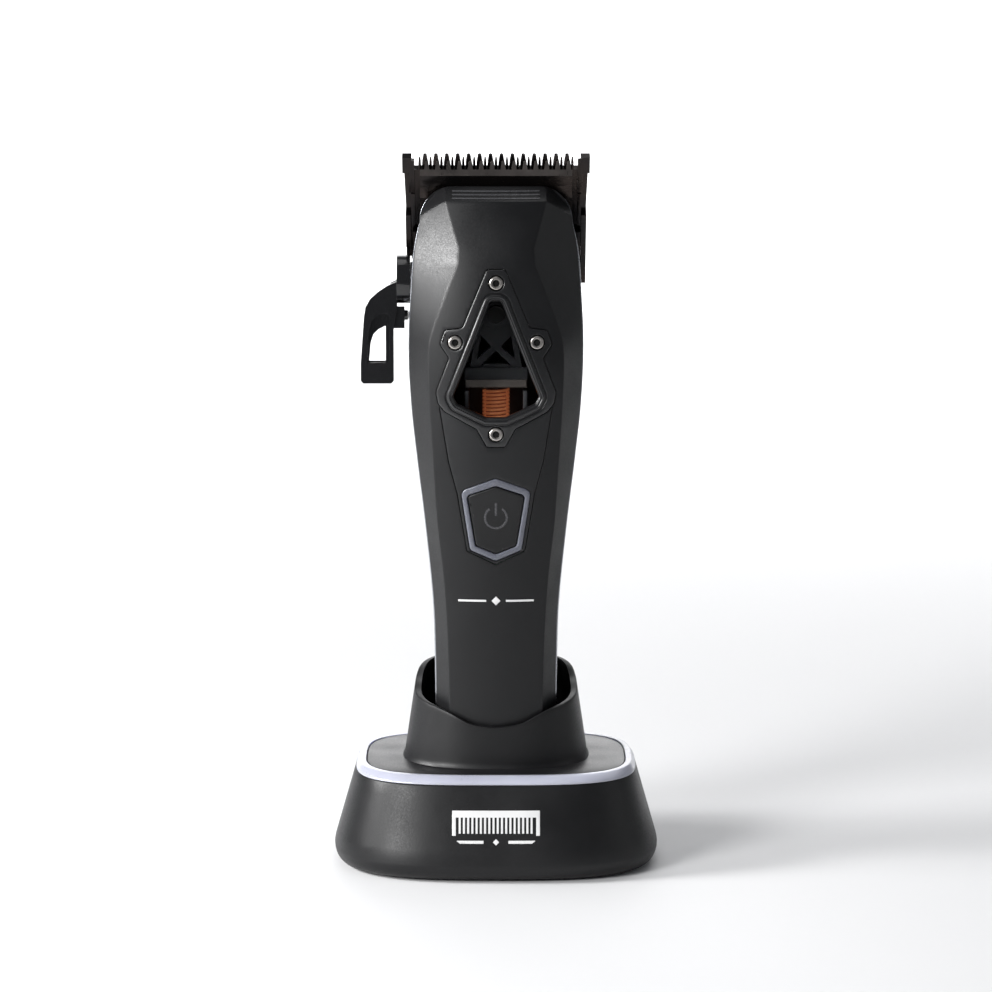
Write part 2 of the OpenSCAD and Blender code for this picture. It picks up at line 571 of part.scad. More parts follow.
// Height of the cup's rim: [degrees round from the front, height]
rim_knots = [[0, 34.9], [13, 35.9], [19, 36.9], [26, 38], [35, 39], [44, 39.6], [66, 40.7], [82, 41.8],
    [92, 43.6], [105, 45.7], [123, 46.8], [180, 48]];
function rim_z(t) = curve(rim_knots, abs(((t + 270) % 360) - 180));
cup_wall = 1.7;
// Ring round the cup: u is 0 at height foot and 1 at the rim; g is 0 outside and cup_wall inside
function cup_ring(foot, u, g) = [for (i = [0:71]) let (
        t = 360 * i / 72, z = mix(foot, rim_z(t), u), h = z - deck_z, p = 2 / (g > 0 ? cup_power : 2.5),
        lip = g > 0 ? 0 : 0.35 * pow(max(0, 1 - h / 1.4), 2),
        a = 22.8 - 0.15 * h + lip - g, b = 18.8 - 0.04 * h + lip - 0.75 * g)
    [a * sign(cos(t)) * pow(abs(cos(t)), p), 2.4 + b * sign(sin(t)) * pow(abs(sin(t)), p), z]];
module charging_cup() color(black) difference() {
    union() {
        loft(concat([for (h = [0.02, 0.5, 1.4]) lifted(cup_ring(deck_z + h, 0, 0), deck_z + h)],
            [for (u = [0.5, 1]) cup_ring(deck_z + 1.4, u, 0)]));
        loft([for (z = [socket_floor - 1.6, deck_z + 1]) oval(17.7, 16.9, z, cup_power, 48, 0.6)]);
    }
    loft([for (z = [socket_floor, deck_z + 2]) oval(15.8, 15.1, z, cup_power, 72)]);
    loft(concat([for (u = [0, 0.5, 1]) cup_ring(deck_z + 1.6, u, cup_wall)],
        [lifted(cup_ring(deck_z, 1, cup_wall), 60)]));
    translate([-8, -3, 0]) cube([16, 6, 20]);
}
function lifted(r, z) = [for (p = r) [p[0], p[1], z]];
module charging_block() color([0.15, 0.15, 0.15]) difference() {
    union() {
        translate([-7.9, -2.9, 8]) cube([15.8, 5.8, 6.4]);
        translate([-9.5, -4.5, 8]) cube([19, 9, 3.3]);
    }
    for (s = [-1, 1]) translate([s * 5, 0, 0]) cylinder(r = 1.45, h = 20);
}
module charging_pin(s) color("gold") translate([s * 5, 0, 0]) {
    translate([0, 0, 9.5]) cylinder(r = 1.4, h = 5);
    translate([0, 0, 14.5]) cylinder(r1 = 1.4, r2 = 1, h = seat_z + 0.3 - 0.15 - 14.5);
}
module charging_pin_left() charging_pin(-1);
module charging_pin_right() charging_pin(1);
inlet_z = 7.8;
module power_inlet() color(silver) difference() {
    translate([-4.5, 22.6, inlet_z]) cube([9, 9, 3.4]);
    translate([-4.1, 25, inlet_z + 0.4]) cube([8.2, 10, 2.6]);
}
module inlet_board() color([0.05, 0.25, 0.12]) translate([-8, 11, 6.1]) cube([16, 17.5, 1.6]);

base_skirt();
base_plate();
rubber_feet();
base_screws();
ballast_plate();
light_ring();
ring_leds();
top_deck();
charging_cup();
charging_block();
charging_pin_left();
charging_pin_right();
charging_board();
power_inlet();
inlet_board();
front_shell();
rear_shell();
side_trim();
centre_panel();
window_bezel();
window_lens();
bezel_screws();
button_light_ring();
power_button();
power_switch();
circuit_board();
battery_cell();
battery_cradle();
bottom_cap();
charging_pads();
housing_screws();
motor_frame();
stator_yoke();
coil_bobbin();
coil_winding();
pivot_pin();
swing_arm();
armature_magnet();
drive_finger();
cutter();
cutter_yoke();
fixed_blade();
blade_carrier();
blade_screws();
tension_spring();
taper_lever();
taper_camshaft();
lever_screw();
lever_washer();
detent_screw();
detent_ball();
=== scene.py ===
"""Looks of the hair clipper in its charging stand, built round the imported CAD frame."""
import json
import math

import bmesh
import bpy
import numpy as np
from mathutils import Matrix, Vector
from mathutils.geometry import delaunay_2d_cdt


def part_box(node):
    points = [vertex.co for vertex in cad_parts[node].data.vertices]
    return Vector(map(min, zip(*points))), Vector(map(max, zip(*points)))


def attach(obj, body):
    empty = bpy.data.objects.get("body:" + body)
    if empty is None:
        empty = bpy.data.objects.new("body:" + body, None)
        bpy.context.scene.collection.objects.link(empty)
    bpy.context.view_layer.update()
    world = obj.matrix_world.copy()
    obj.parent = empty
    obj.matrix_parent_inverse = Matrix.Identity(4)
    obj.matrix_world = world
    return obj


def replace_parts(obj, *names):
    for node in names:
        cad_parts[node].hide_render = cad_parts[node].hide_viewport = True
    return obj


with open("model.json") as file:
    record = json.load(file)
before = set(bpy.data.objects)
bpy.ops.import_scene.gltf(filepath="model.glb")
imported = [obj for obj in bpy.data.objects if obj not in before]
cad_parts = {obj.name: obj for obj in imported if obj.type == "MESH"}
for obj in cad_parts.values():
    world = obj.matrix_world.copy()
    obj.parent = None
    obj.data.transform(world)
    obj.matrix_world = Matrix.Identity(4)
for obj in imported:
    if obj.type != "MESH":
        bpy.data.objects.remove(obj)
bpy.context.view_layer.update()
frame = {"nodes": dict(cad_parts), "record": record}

# Sizes are in mm, apart from those of the camera, the finishes, the stage and the lights, in metres
MM = 0.001
# Height of the clipper's foot above the table
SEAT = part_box("front_shell")[0][2] / MM

# ---------------------------------------------------------------- camera

# Focal length and sensor width, in mm
LENS_LENGTH, SENSOR = 133.98, 36
CAMERA_PLACE = (0, -0.9, 0.22)
# Angle below the level, in degrees
CAMERA_PITCH = 8.23

cam_data = bpy.data.cameras.new("camera")
cam_data.lens = LENS_LENGTH
cam_data.sensor_width = SENSOR
camera = bpy.data.objects.new("camera", cam_data)
bpy.context.collection.objects.link(camera)
camera.location = CAMERA_PLACE
camera.rotation_euler = (math.radians(90 - CAMERA_PITCH), 0, 0)
bpy.context.scene.camera = camera

# ---------------------------------------------------------------- materials


def noise(tree, where, size, detail):
    """Noise whose features are about size metres across."""
    node = tree.nodes.new("ShaderNodeTexNoise")
    node.inputs["Scale"].default_value = 1 / size
    node.inputs["Detail"].default_value = detail
    tree.links.new(where, node.inputs["Vector"])
    return node.outputs["Fac"]


def material(name, color, rough=0.5, metallic=0.0, spec=0.5, coat=0.0, coat_rough=0.1, grain=0.0003, bump=0.1,
             vary=0.15, rough_vary=0.08, patch=0.012, stretch=(1, 1, 1), tint=None, transmission=0.0,
             ior=1.46, subsurface=0.0, emission=None):
    """A procedural finish: fine grain in the surface, and slow patches of colour and roughness.

    grain and patch are feature sizes in metres, stretch scales the grain along x, y and z, tint is the
    lighter colour of the patches, and emission is a colour with a strength.
    """
    mat = bpy.data.materials.new(name)
    mat.use_nodes = True
    tree = mat.node_tree
    nodes, links = tree.nodes, tree.links
    shader = nodes["Principled BSDF"]
    where = nodes.new("ShaderNodeTexCoord").outputs["Object"]
    mapping = nodes.new("ShaderNodeMapping")
    mapping.inputs["Scale"].default_value = stretch
    links.new(where, mapping.inputs["Vector"])
    slow = noise(tree, where, patch, 4)
    fine = noise(tree, mapping.outputs["Vector"], grain, 2)

    ramp = nodes.new("ShaderNodeValToRGB")
    dark = [c * (1 - vary) for c in color]
    light = [min(1, c * (1 + vary)) for c in color] if tint is None else tint
    for stop, position, shade in zip(ramp.color_ramp.elements, (0.35, 0.68), (dark, light)):
        stop.position = position
        stop.color = (*shade, 1)
    links.new(slow, ramp.inputs["Fac"])
    links.new(ramp.outputs["Color"], shader.inputs["Base Color"])

    mixed = nodes.new("ShaderNodeMath")
    mixed.operation = "ADD"
    links.new(slow, mixed.inputs[0])
    links.new(fine, mixed.inputs[1])
    spread = nodes.new("ShaderNodeMapRange")
    spread.inputs["From Min"].default_value = 0.7
    spread.inputs["From Max"].default_value = 1.3
    spread.inputs["To Min"].default_value = max(0.02, rough - rough_vary)
    spread.inputs["To Max"].default_value = min(1, rough + rough_vary)
    links.new(mixed.outputs["Value"], spread.inputs["Value"])
    links.new(spread.outputs["Result"], shader.inputs["Roughness"])

    relief = nodes.new("ShaderNodeBump")
    relief.inputs["Strength"].default_value = bump
    relief.inputs["Distance"].default_value = grain * 0.25
    links.new(fine, relief.inputs["Height"])
    links.new(relief.outputs["Normal"], shader.inputs["Normal"])

    shader.inputs["Metallic"].default_value = metallic
    shader.inputs["Specular IOR Level"].default_value = spec
    shader.inputs["Coat Weight"].default_value = coat
    shader.inputs["Coat Roughness"].default_value = coat_rough
    shader.inputs["IOR"].default_value = ior
    shader.inputs["Transmission Weight"].default_value = transmission
    if subsurface:
        shader.inputs["Subsurface Weight"].default_value = subsurface
        shader.inputs["Subsurface Radius"].default_value = (0.002, 0.002, 0.0025)
        shader.inputs["Subsurface Scale"].default_value = 1
    if emission:
        shader.inputs["Emission Color"].default_value = (*emission[0], 1)
        shader.inputs["Emission Strength"].default_value = emission[1]
    return mat


SHELL = material("shell_black", (0.005, 0.0051, 0.0058), rough=0.42, spec=0.42, grain=0.00035, bump=0.12,
                 vary=0.1)
STAND = material("stand_black", (0.005, 0.005, 0.0057), rough=0.44, spec=0.42, grain=0.0004, bump=0.12,
                 vary=0.12)
DECK = material("deck_black", (0.009, 0.009, 0.010), rough=0.42, spec=0.4, grain=0.0004, bump=0.08, vary=0.12)
PANEL = material("panel_black", (0.006, 0.0062, 0.007), rough=0.36, grain=0.0003, bump=0.06, vary=0.1)
BEZEL = material("bezel_black", (0.005, 0.005, 0.0057), rough=0.36, grain=0.0003, bump=0.05, vary=0.1,
                 coat=0.5, coat_rough=0.12)
BUTTON = material("button_black", (0.004, 0.004, 0.0045), rough=0.4, grain=0.0003, bump=0.06, vary=0.1)
# Grey ten times lighter than the button and the shell: a painted highlight that stands in for the glints on
# raised signs and ribs
ICON_PAINTED_GLINT = material("icon_grey_painted_glint", (0.05, 0.05, 0.054), rough=0.28, grain=0.0003, bump=0.03, vary=0.1)
TRIM = material("silver_trim", (0.38, 0.39, 0.42), rough=0.24, metallic=1, grain=0.0002, bump=0.03, vary=0.05)
FROST = material("frosted_ring", (0.42, 0.43, 0.51), rough=0.34, subsurface=0.5, grain=0.0005, bump=0.04,
                 vary=0.05, coat=0.3, coat_rough=0.2)
BUTTON_RING = material("button_ring", (0.11, 0.115, 0.14), rough=0.3, subsurface=0.4, grain=0.0005, bump=0.04,
                       vary=0.07, coat=0.4, coat_rough=0.15)
STEEL = material("steel", (0.42, 0.42, 0.43), rough=0.3, metallic=1, grain=0.0002, bump=0.02, vary=0.06,
                 stretch=(1, 1, 0.15))
SCREW = material("screw_steel", (0.5, 0.47, 0.44), rough=0.3, rough_vary=0.03, metallic=1, grain=0.0002,
                 bump=0.015, vary=0.06)
CORE = material("core_steel", (0.19, 0.19, 0.2), rough=0.4, metallic=1, grain=0.0003, bump=0.1, vary=0.1)
MAGNET = material("magnet", (0.17, 0.15, 0.135), rough=0.36, metallic=0.8, grain=0.0003, bump=0.1, vary=0.15)
BLADE = material("blade_black", (0.022, 0.021, 0.022), rough=0.2, metallic=0.9, grain=0.00025, bump=0.05,
                 vary=0.1, tint=(0.034, 0.027, 0.024), patch=0.009, stretch=(0.08, 1, 1))
GROUND = material("ground_edge", (0.115, 0.102, 0.095), rough=0.34, metallic=0.9, grain=0.0002, bump=0.05,
                  vary=0.15, patch=0.006, stretch=(1, 1, 0.1))
LEVER = material("lever_black", (0.005, 0.005, 0.0055), rough=0.16, grain=0.0004, bump=0.03, vary=0.1,
                 coat=0.6, coat_rough=0.06)
INNER = material("inner_black", (0.014, 0.014, 0.015), rough=0.5, grain=0.0004, bump=0.1, vary=0.12)
ARM = material("arm_black", (0.007, 0.0075, 0.009), rough=0.4, grain=0.0004, bump=0.06, vary=0.1)
# Enamelled copper whose emission makes it glow faintly though it is no lamp: a painted glow for the light on
# the coil behind the window
COPPER_PAINTED_GLOW = material("enamelled_copper_painted_glow", (1, 0.42, 0.2), rough=0.24, metallic=0.4, grain=0.0003, bump=0.05,
                  vary=0.15, coat=0.5, coat_rough=0.1, emission=((1, 0.3, 0.12), 0.13))
ACETAL = material("acetal", (0.72, 0.7, 0.64), rough=0.42, grain=0.0004, bump=0.05, vary=0.05, subsurface=0.1)
GOLD = material("gold_plate", (0.85, 0.58, 0.22), rough=0.22, metallic=1, grain=0.0002, bump=0.03, vary=0.08)
MASK = material("solder_mask", (0.015, 0.09, 0.035), rough=0.32, grain=0.0006, bump=0.1, vary=0.25,
                patch=0.003)
WRAP = material("cell_wrap", (0.03, 0.09, 0.26), rough=0.3, grain=0.0008, bump=0.08, vary=0.12)
# Black oxide of the hidden housing screws and pivot pin; the same finish makes the dark discs in the bezel
# screws' sockets, which are painted shade
OXIDE_AND_PAINTED_SHADE = material("black_oxide_and_painted_shade", (0.02, 0.019, 0.018), rough=0.42, metallic=0.7, grain=0.0003, bump=0.1,
                 vary=0.15)
RUBBER = material("rubber", (0.014, 0.014, 0.014), rough=0.8, grain=0.0005, bump=0.25, vary=0.15)
PRINT = material("white_print", (0.68, 0.68, 0.68), rough=0.5, grain=0.0004, bump=0.05, vary=0.03)
LED = material("led_white", (0.85, 0.85, 0.8), rough=0.4, grain=0.0005, bump=0.05, vary=0.05, subsurface=0.2)


def lens_material():
    """Clear lens: see-through, with a polished surface and faint rubbing marks."""
    mat = material("clear_lens", (0.9, 0.92, 0.93), rough=0.03, rough_vary=0.015, grain=0.0006, bump=0.01,
                   vary=0.02, transmission=1.0, ior=1.12)
    mat.node_tree.nodes["Principled BSDF"].inputs["Alpha"].default_value = 0.16
    mat.surface_render_method = "BLENDED"
    return mat


LENS = lens_material()

# ---------------------------------------------------------------- mesh helpers


def add_object(name, verts, faces, mat, body, sharp=32, weld=0.0):
    """A mesh object from points in mm; edges steeper than sharp degrees stay crisp."""
    mesh = bpy.data.meshes.new(name)
    mesh.from_pydata([Vector(v) * MM for v in verts], [], faces)
    bm = bmesh.new()
    bm.from_mesh(mesh)
    if weld:
        bmesh.ops.remove_doubles(bm, verts=bm.verts, dist=weld * MM)
    bmesh.ops.recalc_face_normals(bm, faces=bm.faces)
    bm.to_mesh(mesh)
    bm.free()
    return finish_mesh(name, mesh, mat, body, sharp)


def finish_mesh(name, mesh, mat, body, sharp=32):
    """An object for the mesh, with its material and the body it rides on."""
    mesh.shade_smooth()
    mesh.set_sharp_from_angle(angle=math.radians(sharp))
    mesh.materials.clear()
    mesh.materials.append(mat)
    obj = bpy.data.objects.new(name, mesh)
    bpy.context.collection.objects.link(obj)
    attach(obj, body)
    return obj


def body_of_node(node):
    """The record's body that the CAD node belongs to."""
    for body, members in frame["record"]["behaviour"]["bodies"].items():
        if node in members:
            return body
    raise KeyError(node)


def refine(node, mat, bevel, segments=2, angle=35):
    """A welded copy of a CAD node with edges rounded to the width bevel, which stands in for it."""
    bm = bmesh.new()
    bm.from_mesh(frame["nodes"][node].data)
    bmesh.ops.remove_doubles(bm, verts=bm.verts, dist=2e-6)
    bmesh.ops.dissolve_limit(bm, angle_limit=math.radians(1.0), verts=bm.verts, edges=bm.edges)
    bmesh.ops.recalc_face_normals(bm, faces=bm.faces)
    mesh = bpy.data.meshes.new(node + "_look")
    bm.to_mesh(mesh)
    bm.free()
    obj = finish_mesh(node + "_look", mesh, mat, body_of_node(node), angle)
    mod = obj.modifiers.new("round", "BEVEL")
    mod.width = bevel * MM
    mod.segments = segments
    mod.limit_method = "ANGLE"
    mod.angle_limit = math.radians(angle)
    mod.harden_normals = True
    mod.use_clamp_overlap = True
    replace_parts(obj, node)


def bake(obj):
    """Applies the object's modifiers to its mesh."""
    deps = bpy.context.evaluated_depsgraph_get()
    deps.update()
    mesh = bpy.data.meshes.new_from_object(obj.evaluated_get(deps))
    obj.modifiers.clear()
    old = obj.data
    obj.data = mesh
    bpy.data.meshes.remove(old)


def cut(obj, cutters, sharp=32):
    """Takes the cutters away from obj, then removes them."""
    for c in cutters:
        mod = obj.modifiers.new("cut", "BOOLEAN")
        mod.operation = "DIFFERENCE"
        mod.solver = "EXACT"
        mod.object = c
    bake(obj)
    for c in cutters:
        bpy.data.objects.remove(c)
    obj.data.shade_smooth()
    obj.data.set_sharp_from_angle(angle=math.radians(sharp))


def loose(name, verts, faces):
    """A plain mesh object in mm that rides on nothing: a cutter."""
    mesh = bpy.data.meshes.new(name)
    mesh.from_pydata([Vector(v) * MM for v in verts], [], faces)
    bm = bmesh.new()
    bm.from_mesh(mesh)
    bmesh.ops.recalc_face_normals(bm, faces=bm.faces)
    bm.to_mesh(mesh)
    bm.free()
    obj = bpy.data.objects.new(name, mesh)
    bpy.context.collection.objects.link(obj)
    return obj


def box_cutter(lo, hi, place=Matrix.Identity(4)):
    """A block between two corners, set down at place."""
    corners = [place @ Vector((x, y, z)) for x in (lo[0], hi[0]) for y in (lo[1], hi[1])
               for z in (lo[2], hi[2])]
    return loose("cutter_box", corners, [(0, 1, 3, 2), (4, 6, 7, 5), (0, 4, 5, 1), (2, 3, 7, 6), (0, 2, 6, 4),
                                         (1, 5, 7, 3)])


def tube_cutter(start, end, r, n=48):
    """A rod of radius r between two points."""
    start, end = Vector(start), Vector(end)
    turn = (end - start).to_track_quat("Z", "Y").to_matrix()
    angles = [2 * math.pi * i / n for i in range(n)]
    ring = [turn @ Vector((r * math.cos(t), r * math.sin(t), 0)) for t in angles]
    verts = [start + p for p in ring] + [end + p for p in ring]
    faces = [(i, (i + 1) % n, n + (i + 1) % n, n + i) for i in range(n)]
    return loose("cutter_tube", verts, faces + [tuple(range(n))[::-1], tuple(range(n, 2 * n))])


def skin_rings(rings, capped=True):
    """Vertices and faces that join rings of equal length in order, with or without end caps."""
    n = len(rings[0])
    verts = [p for ring in rings for p in ring]
    faces = []
    for k in range(len(rings) - 1):
        for i in range(n):
            j = (i + 1) % n
            faces.append((k * n + i, k * n + j, (k + 1) * n + j, (k + 1) * n + i))
    if capped:
        faces.append(tuple(range(n))[::-1])
        faces.append(tuple((len(rings) - 1) * n + i for i in range(n)))
    return verts, faces


def rounded(points, radius, step=0.7):
    """A closed outline with arcs at its corners and extra points along its long sides."""
    n = len(points)
    radii = radius if isinstance(radius, (list, tuple)) else [radius] * n
    arcs = []
    for i, (px, pz) in enumerate(points):
        a, p, b = Vector(points[i - 1]), Vector((px, pz)), Vector(points[(i + 1) % n])
        u, v = (a - p).normalized(), (b - p).normalized()
        half = math.acos(max(-1, min(1, u.dot(v)))) / 2
        t = min(radii[i] / math.tan(half), 0.45 * (a - p).length, 0.45 * (b - p).length)
        r = t * math.tan(half)
        centre = p + (u + v).normalized() * (r / math.sin(half))
        s, e = p + u * t - centre, p + v * t - centre
        total = s.angle_signed(e)
        m = max(2, int(abs(total) * max(r, 0.3) / 0.25) + 2)
        arc = []
        for k in range(m + 1):
            w = -total * k / m
            c, sn = math.cos(w), math.sin(w)
            arc.append(centre + Vector((s.x * c - s.y * sn, s.x * sn + s.y * c)))
        arcs.append(arc)
    out = []
    for i in range(n):
        out += arcs[i]
        gap = arcs[(i + 1) % n][0] - arcs[i][-1]
        m = int(gap.length / step)
        out += [arcs[i][-1] + gap * (k / (m + 1)) for k in range(1, m + 1)]
    clean = [out[0]]
    for p in out[1:]:
        if (p - clean[-1]).length > 0.02:
            clean.append(p)
    if (clean[0] - clean[-1]).length < 0.02:
        clean.pop()
    return [(p.x, p.y) for p in clean]


def area2(loop):
    """Twice the area of a closed outline, positive when it runs anticlockwise."""
    return sum(a[0] * b[1] - b[0] * a[1] for a, b in zip(loop, loop[1:] + loop[:1]))


def ccw(loop):
    """The outline, turned round if need be so that it runs anticlockwise."""
    return loop if area2(loop) > 0 else loop[::-1]


def inset(loop, d):
    """Moves a closed outline's points sideways to its left by d."""
    n = len(loop)
    out = []
    for i in range(n):
        a, p, b = Vector(loop[i - 1]), Vector(loop[i]), Vector(loop[(i + 1) % n])
        u, v = (p - a).normalized(), (b - p).normalized()
        m = Vector((-u.y - v.y, u.x + v.x)).normalized()
        k = max(0.5, m.dot(Vector((-u.y, u.x))))
        out.append((p.x + m.x * d / k, p.y + m.y * d / k))
    return out


def inside(loop, pts):
    """Which of the points (an n by 2 array) lie in the closed outline."""
    x, z = pts[:, 0], pts[:, 1]
    res = np.zeros(len(pts), bool)
    for (ax, az), (bx, bz) in zip(loop, loop[1:] + loop[:1]):
        crosses = (az > z) != (bz > z)
        if bz != az:
            res ^= crosses & (x < (bx - ax) * (z - az) / (bz - az) + ax)
    return res


def lifted_mesh(outline, holes, height, depth, edge=0.25, points=None, step=0.9):
    """Vertices and faces of a plate whose plan is in x and z and whose front follows y = height(x, z).

    edge is the radius of its front edges. The points, or a grid with the given step, fill its front.
    """
    outer = ccw(outline)
    inner = [ccw(h)[::-1] for h in holes]
    arcs = [(0, edge), (0.08 * edge, 0.62 * edge), (0.3 * edge, 0.29 * edge), (0.62 * edge, 0.08 * edge)]
    verts, faces = [], []
    fill = []
    for loop in [outer] + inner:
        rings = [[(x, height(x, z) + depth, z) for x, z in loop]]
        for s, drop in arcs:
            rings.append([(x, height(x, z) + drop, z) for x, z in inset(loop, s)])
        last = inset(loop, edge)
        rings.append([(x, height(x, z), z) for x, z in last])
        v, f = skin_rings(rings, capped=False)
        base = len(verts)
        verts += v
        faces += [tuple(base + i for i in q) for q in f]
        fill.append((last, base + (len(rings) - 1) * len(loop), base, loop))
    if points is None:
        xs, zs = [p[0] for p in outer], [p[1] for p in outer]
        gx = np.arange(min(xs) + step / 2, max(xs), step)
        gz = np.arange(min(zs) + step / 2, max(zs), step)
        points = np.array([(x, z) for z in gz for x in gx])
    keep = inside(inset(fill[0][0], step * 0.35), points)
    for last, _, _, _ in fill[1:]:
        keep &= ~inside(inset(last, step * 0.35)[::-1], points)
    points = points[keep]
    for back in (False, True):
        coords, ids, edges = [], [], []
        for last, top, bottom, loop in fill:
            src = loop if back else last
            s = len(coords)
            coords += [Vector(p) for p in src]
            ids += [(bottom if back else top) + i for i in range(len(src))]
            edges += [(s + i, s + (i + 1) % len(src)) for i in range(len(src))]
        if not back:
            base = len(verts)
            verts += [(x, height(x, z), z) for x, z in points]
            coords += [Vector(p) for p in points]
            ids += list(range(base, base + len(points)))
        out_v, _, out_f, orig, _, _ = delaunay_2d_cdt(coords, edges, [], 0, 1e-6)
        mids = np.array([[sum(out_v[i].x for i in f) / 3, sum(out_v[i].y for i in f) / 3] for f in out_f])
        loops = [f[3] if back else f[0] for f in fill]
        ok = inside(loops[0], mids)
        for h in loops[1:]:
            ok &= ~inside(h, mids)
        for k, source in enumerate(orig):
            if not source:
                x, z = out_v[k]
                verts.append((x, height(x, z) + (depth if back else 0), z))
                orig[k].append(len(ids))
                ids.append(len(verts) - 1)
        for f, good in zip(out_f, ok):
            if good:
                q = [ids[orig[i][0]] for i in f]
                if len(set(q)) == 3:
                    faces.append(tuple(q[::-1] if back else q))
    return verts, faces


def seated(verts):
    """Points measured from the clipper's foot, raised to where it stands."""
    return [(x, y, z + SEAT) for x, y, z in verts]


def lifted(node, outline, holes, height, depth, mat, body, slot, **kw):
    """A plate of the clipper as in lifted_mesh, in place of the CAD node."""
    verts, faces = lifted_mesh(outline, holes, height, depth, **kw)
    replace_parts(add_object(node + "_look", seated(verts), faces, mat, body, 40), node)


def join_parts(parts):
    """One list of vertices and faces out of several."""
    verts, faces = [], []
    for v, f in parts:
        base = len(verts)
        verts += v
        faces += [tuple(base + i for i in q) for q in f]
    return verts, faces


# ---------------------------------------------------------------- the handle's outline, as in the CAD

# Knots of (height above the foot, value): half width, front and back depth, depth of the facets' outer edge,
# and the creases' distance from the middle
HALF = [(0, 14.3), (17, 14.6), (35, 14.75), (48, 15.2), (66, 16.95), (84, 19.1), (97, 20.45), (111, 21),
        (125, 20.4), (135, 19.6), (141, 18.5)]
FRONT = [(0, -13.4), (35, -14.6), (60, -16.3), (84, -18.8), (101, -20.5), (113, -20.8), (125, -19.9),
         (135, -18), (145.7, -14), (149.6, -12.2)]
BACK = [(0, 13.4), (35, 14.8), (60, 16.8), (80, 18.9), (95, 19.6), (107, 18.8), (117, 15.8), (126, 11.6),
        (149.6, 0)]
EDGE = [(0, -7.5), (39, -8), (79, -9), (110, -10), (133.5, -8.5), (149.6, -6)]
CREASE = [(0, 11), (38, 11.7), (54, 12.6), (69, 14.2), (83, 15.1), (98, 16), (109, 16.3), (114, 15.8),
          (124, 12.3), (133.5, 8.5)]
# Depth of the joint between the shells
PART_Y = -4
# Heights where the shoulders start, of the top, of the facets' upper creases and of the slanted lip's foot
SHOULDER, TOP, CREST, CHAMFER = 141, 149.6, 133.5, 146.4
# Half widths of the flat top and of one shoulder's arc
TOP_HALF, SHOULDER_R = 10.5, 8
# Where the creases end on the slanted lip, and the least width that they leave to the facets
CREASE_TOP, FACET_MIN = 12.2, 0.8
# Slopes of the slanted lip, upward and beyond its middle part, and the middle part's half width
SLANT, SIDE_SLANT, SLANT_HALF = 1.9, 1.6, 12.1
# Radius of the front face across the handle
FACE_R = 45
# Height over which the facets' kink at the crest is blended out
CREST_BLEND = 6
WALL = 2.4


def curve(knots, z):
    """Smooth curve through the knots, at z."""
    i = 0
    while i < len(knots) - 2 and z > knots[i + 1][0]:
        i += 1

    def slope(k):
        a, b = max(k - 1, 0), min(k + 1, len(knots) - 1)
        return (knots[b][1] - knots[a][1]) / (knots[b][0] - knots[a][0])

    h = knots[i + 1][0] - knots[i][0]
    u = (z - knots[i][0]) / h
    return (knots[i][1] * (1 + 2 * u) * (1 - u) ** 2 + knots[i + 1][1] * u * u * (3 - 2 * u)
            + h * slope(i) * u * (1 - u) ** 2 - h * slope(i + 1) * u * u * (1 - u))


def mix(a, b, u):
    """The value that lies the fraction u of the way from a to b."""
    return a + (b - a) * u


def body_half(z):
    """Half the handle's width."""
    if z <= SHOULDER:
        return curve(HALF, z)
    return TOP_HALF + SHOULDER_R * math.sqrt(max(0, 1 - ((z - SHOULDER) / (TOP - SHOULDER)) ** 2))


def crease(z):
    """Distance of the facets' inner creases from the middle."""
    if z <= CREST:
        return curve(CREASE, z)
    return min(mix(CREASE[-1][1], CREASE_TOP, (z - CREST) / (CHAMFER - CREST)), body_half(z) - FACET_MIN)


def smooth_max(a, b, r):
    """The larger of a and b, blended where they are within r of each other."""
    h = max(r - abs(a - b), 0) / r
    return max(a, b) + h * h * r / 4


def face_y(x, z):
    """Depth of the middle face, carried on across the handle."""
    return curve(FRONT, z) + x * x / (2 * FACE_R)


def facet(x, z):
    """Depth of the side facet at height z, carried on past its crease."""
    c, w = crease(z), body_half(z)
    return mix(face_y(c, z), curve(EDGE, z), (x - c) / (w - c))


def skin(x, z, fillet=0.15):
    """Depth of the clipper's front surface, with its creases slightly rounded."""
    ax = min(abs(x), body_half(z))
    # The facets are averaged over a few heights near the crest, which takes the kink out of them
    near = max(0, 1 - abs(z - CREST) / CREST_BLEND)
    taps = [0.6 * CREST_BLEND * near * k for k in (-1, -0.5, 0, 0.5, 1)] if near else [0]
    side = sum(facet(ax, z + tap) for tap in taps) / len(taps)
    y = smooth_max(face_y(ax, z), side, fillet)
    slant = face_y(ax, CHAMFER) + (z - CHAMFER) * SLANT + max(0, ax - SLANT_HALF) * SIDE_SLANT
    return smooth_max(y, slant, 0.2)


def mirrored(points):
    """A closed outline from its right half."""
    return points + [(-x, z) for x, z in points[::-1] if x > 0.01]


# Outlines on the front, as in the CAD, in x and height above the foot
BEZEL_OUT = mirrored([(2.2, 87.8), (4.6, 92.2), (12.3, 96.3), (13.9, 98.2), (14.4, 101), (11.2, 109.3),
                      (13.4, 112.6), (12.2, 116), (8, 116.6), (2.2, 130.5)])
# Corner radii of the bezel's right half
BEZEL_R = [0.8, 1.5, 2.5, 2, 2, 1.2, 0.8, 0.8, 1.2, 0.9]
WINDOW = mirrored([(2.3, 94.9), (9.4, 98.2), (10.3, 99.9), (1.2, 123)])
PANEL_OUT = mirrored([(0, 58.7), (7, 62), (9.3, 76), (11.4, 84), (13.6, 97.6)])
RING_OUT = mirrored([(0, 59.5), (6.3, 62.2), (8.5, 76.9), (0, 80)])
BUTTON_OUT = mirrored([(0, 61.3), (4.9, 63.3), (6.9, 75.6), (0, 78)])
# Bezel screws
HOLES = [(0, 127.3), (-9.8, 113.1), (9.8, 113.1), (0, 90.9)]
ICON_Z = 70.3

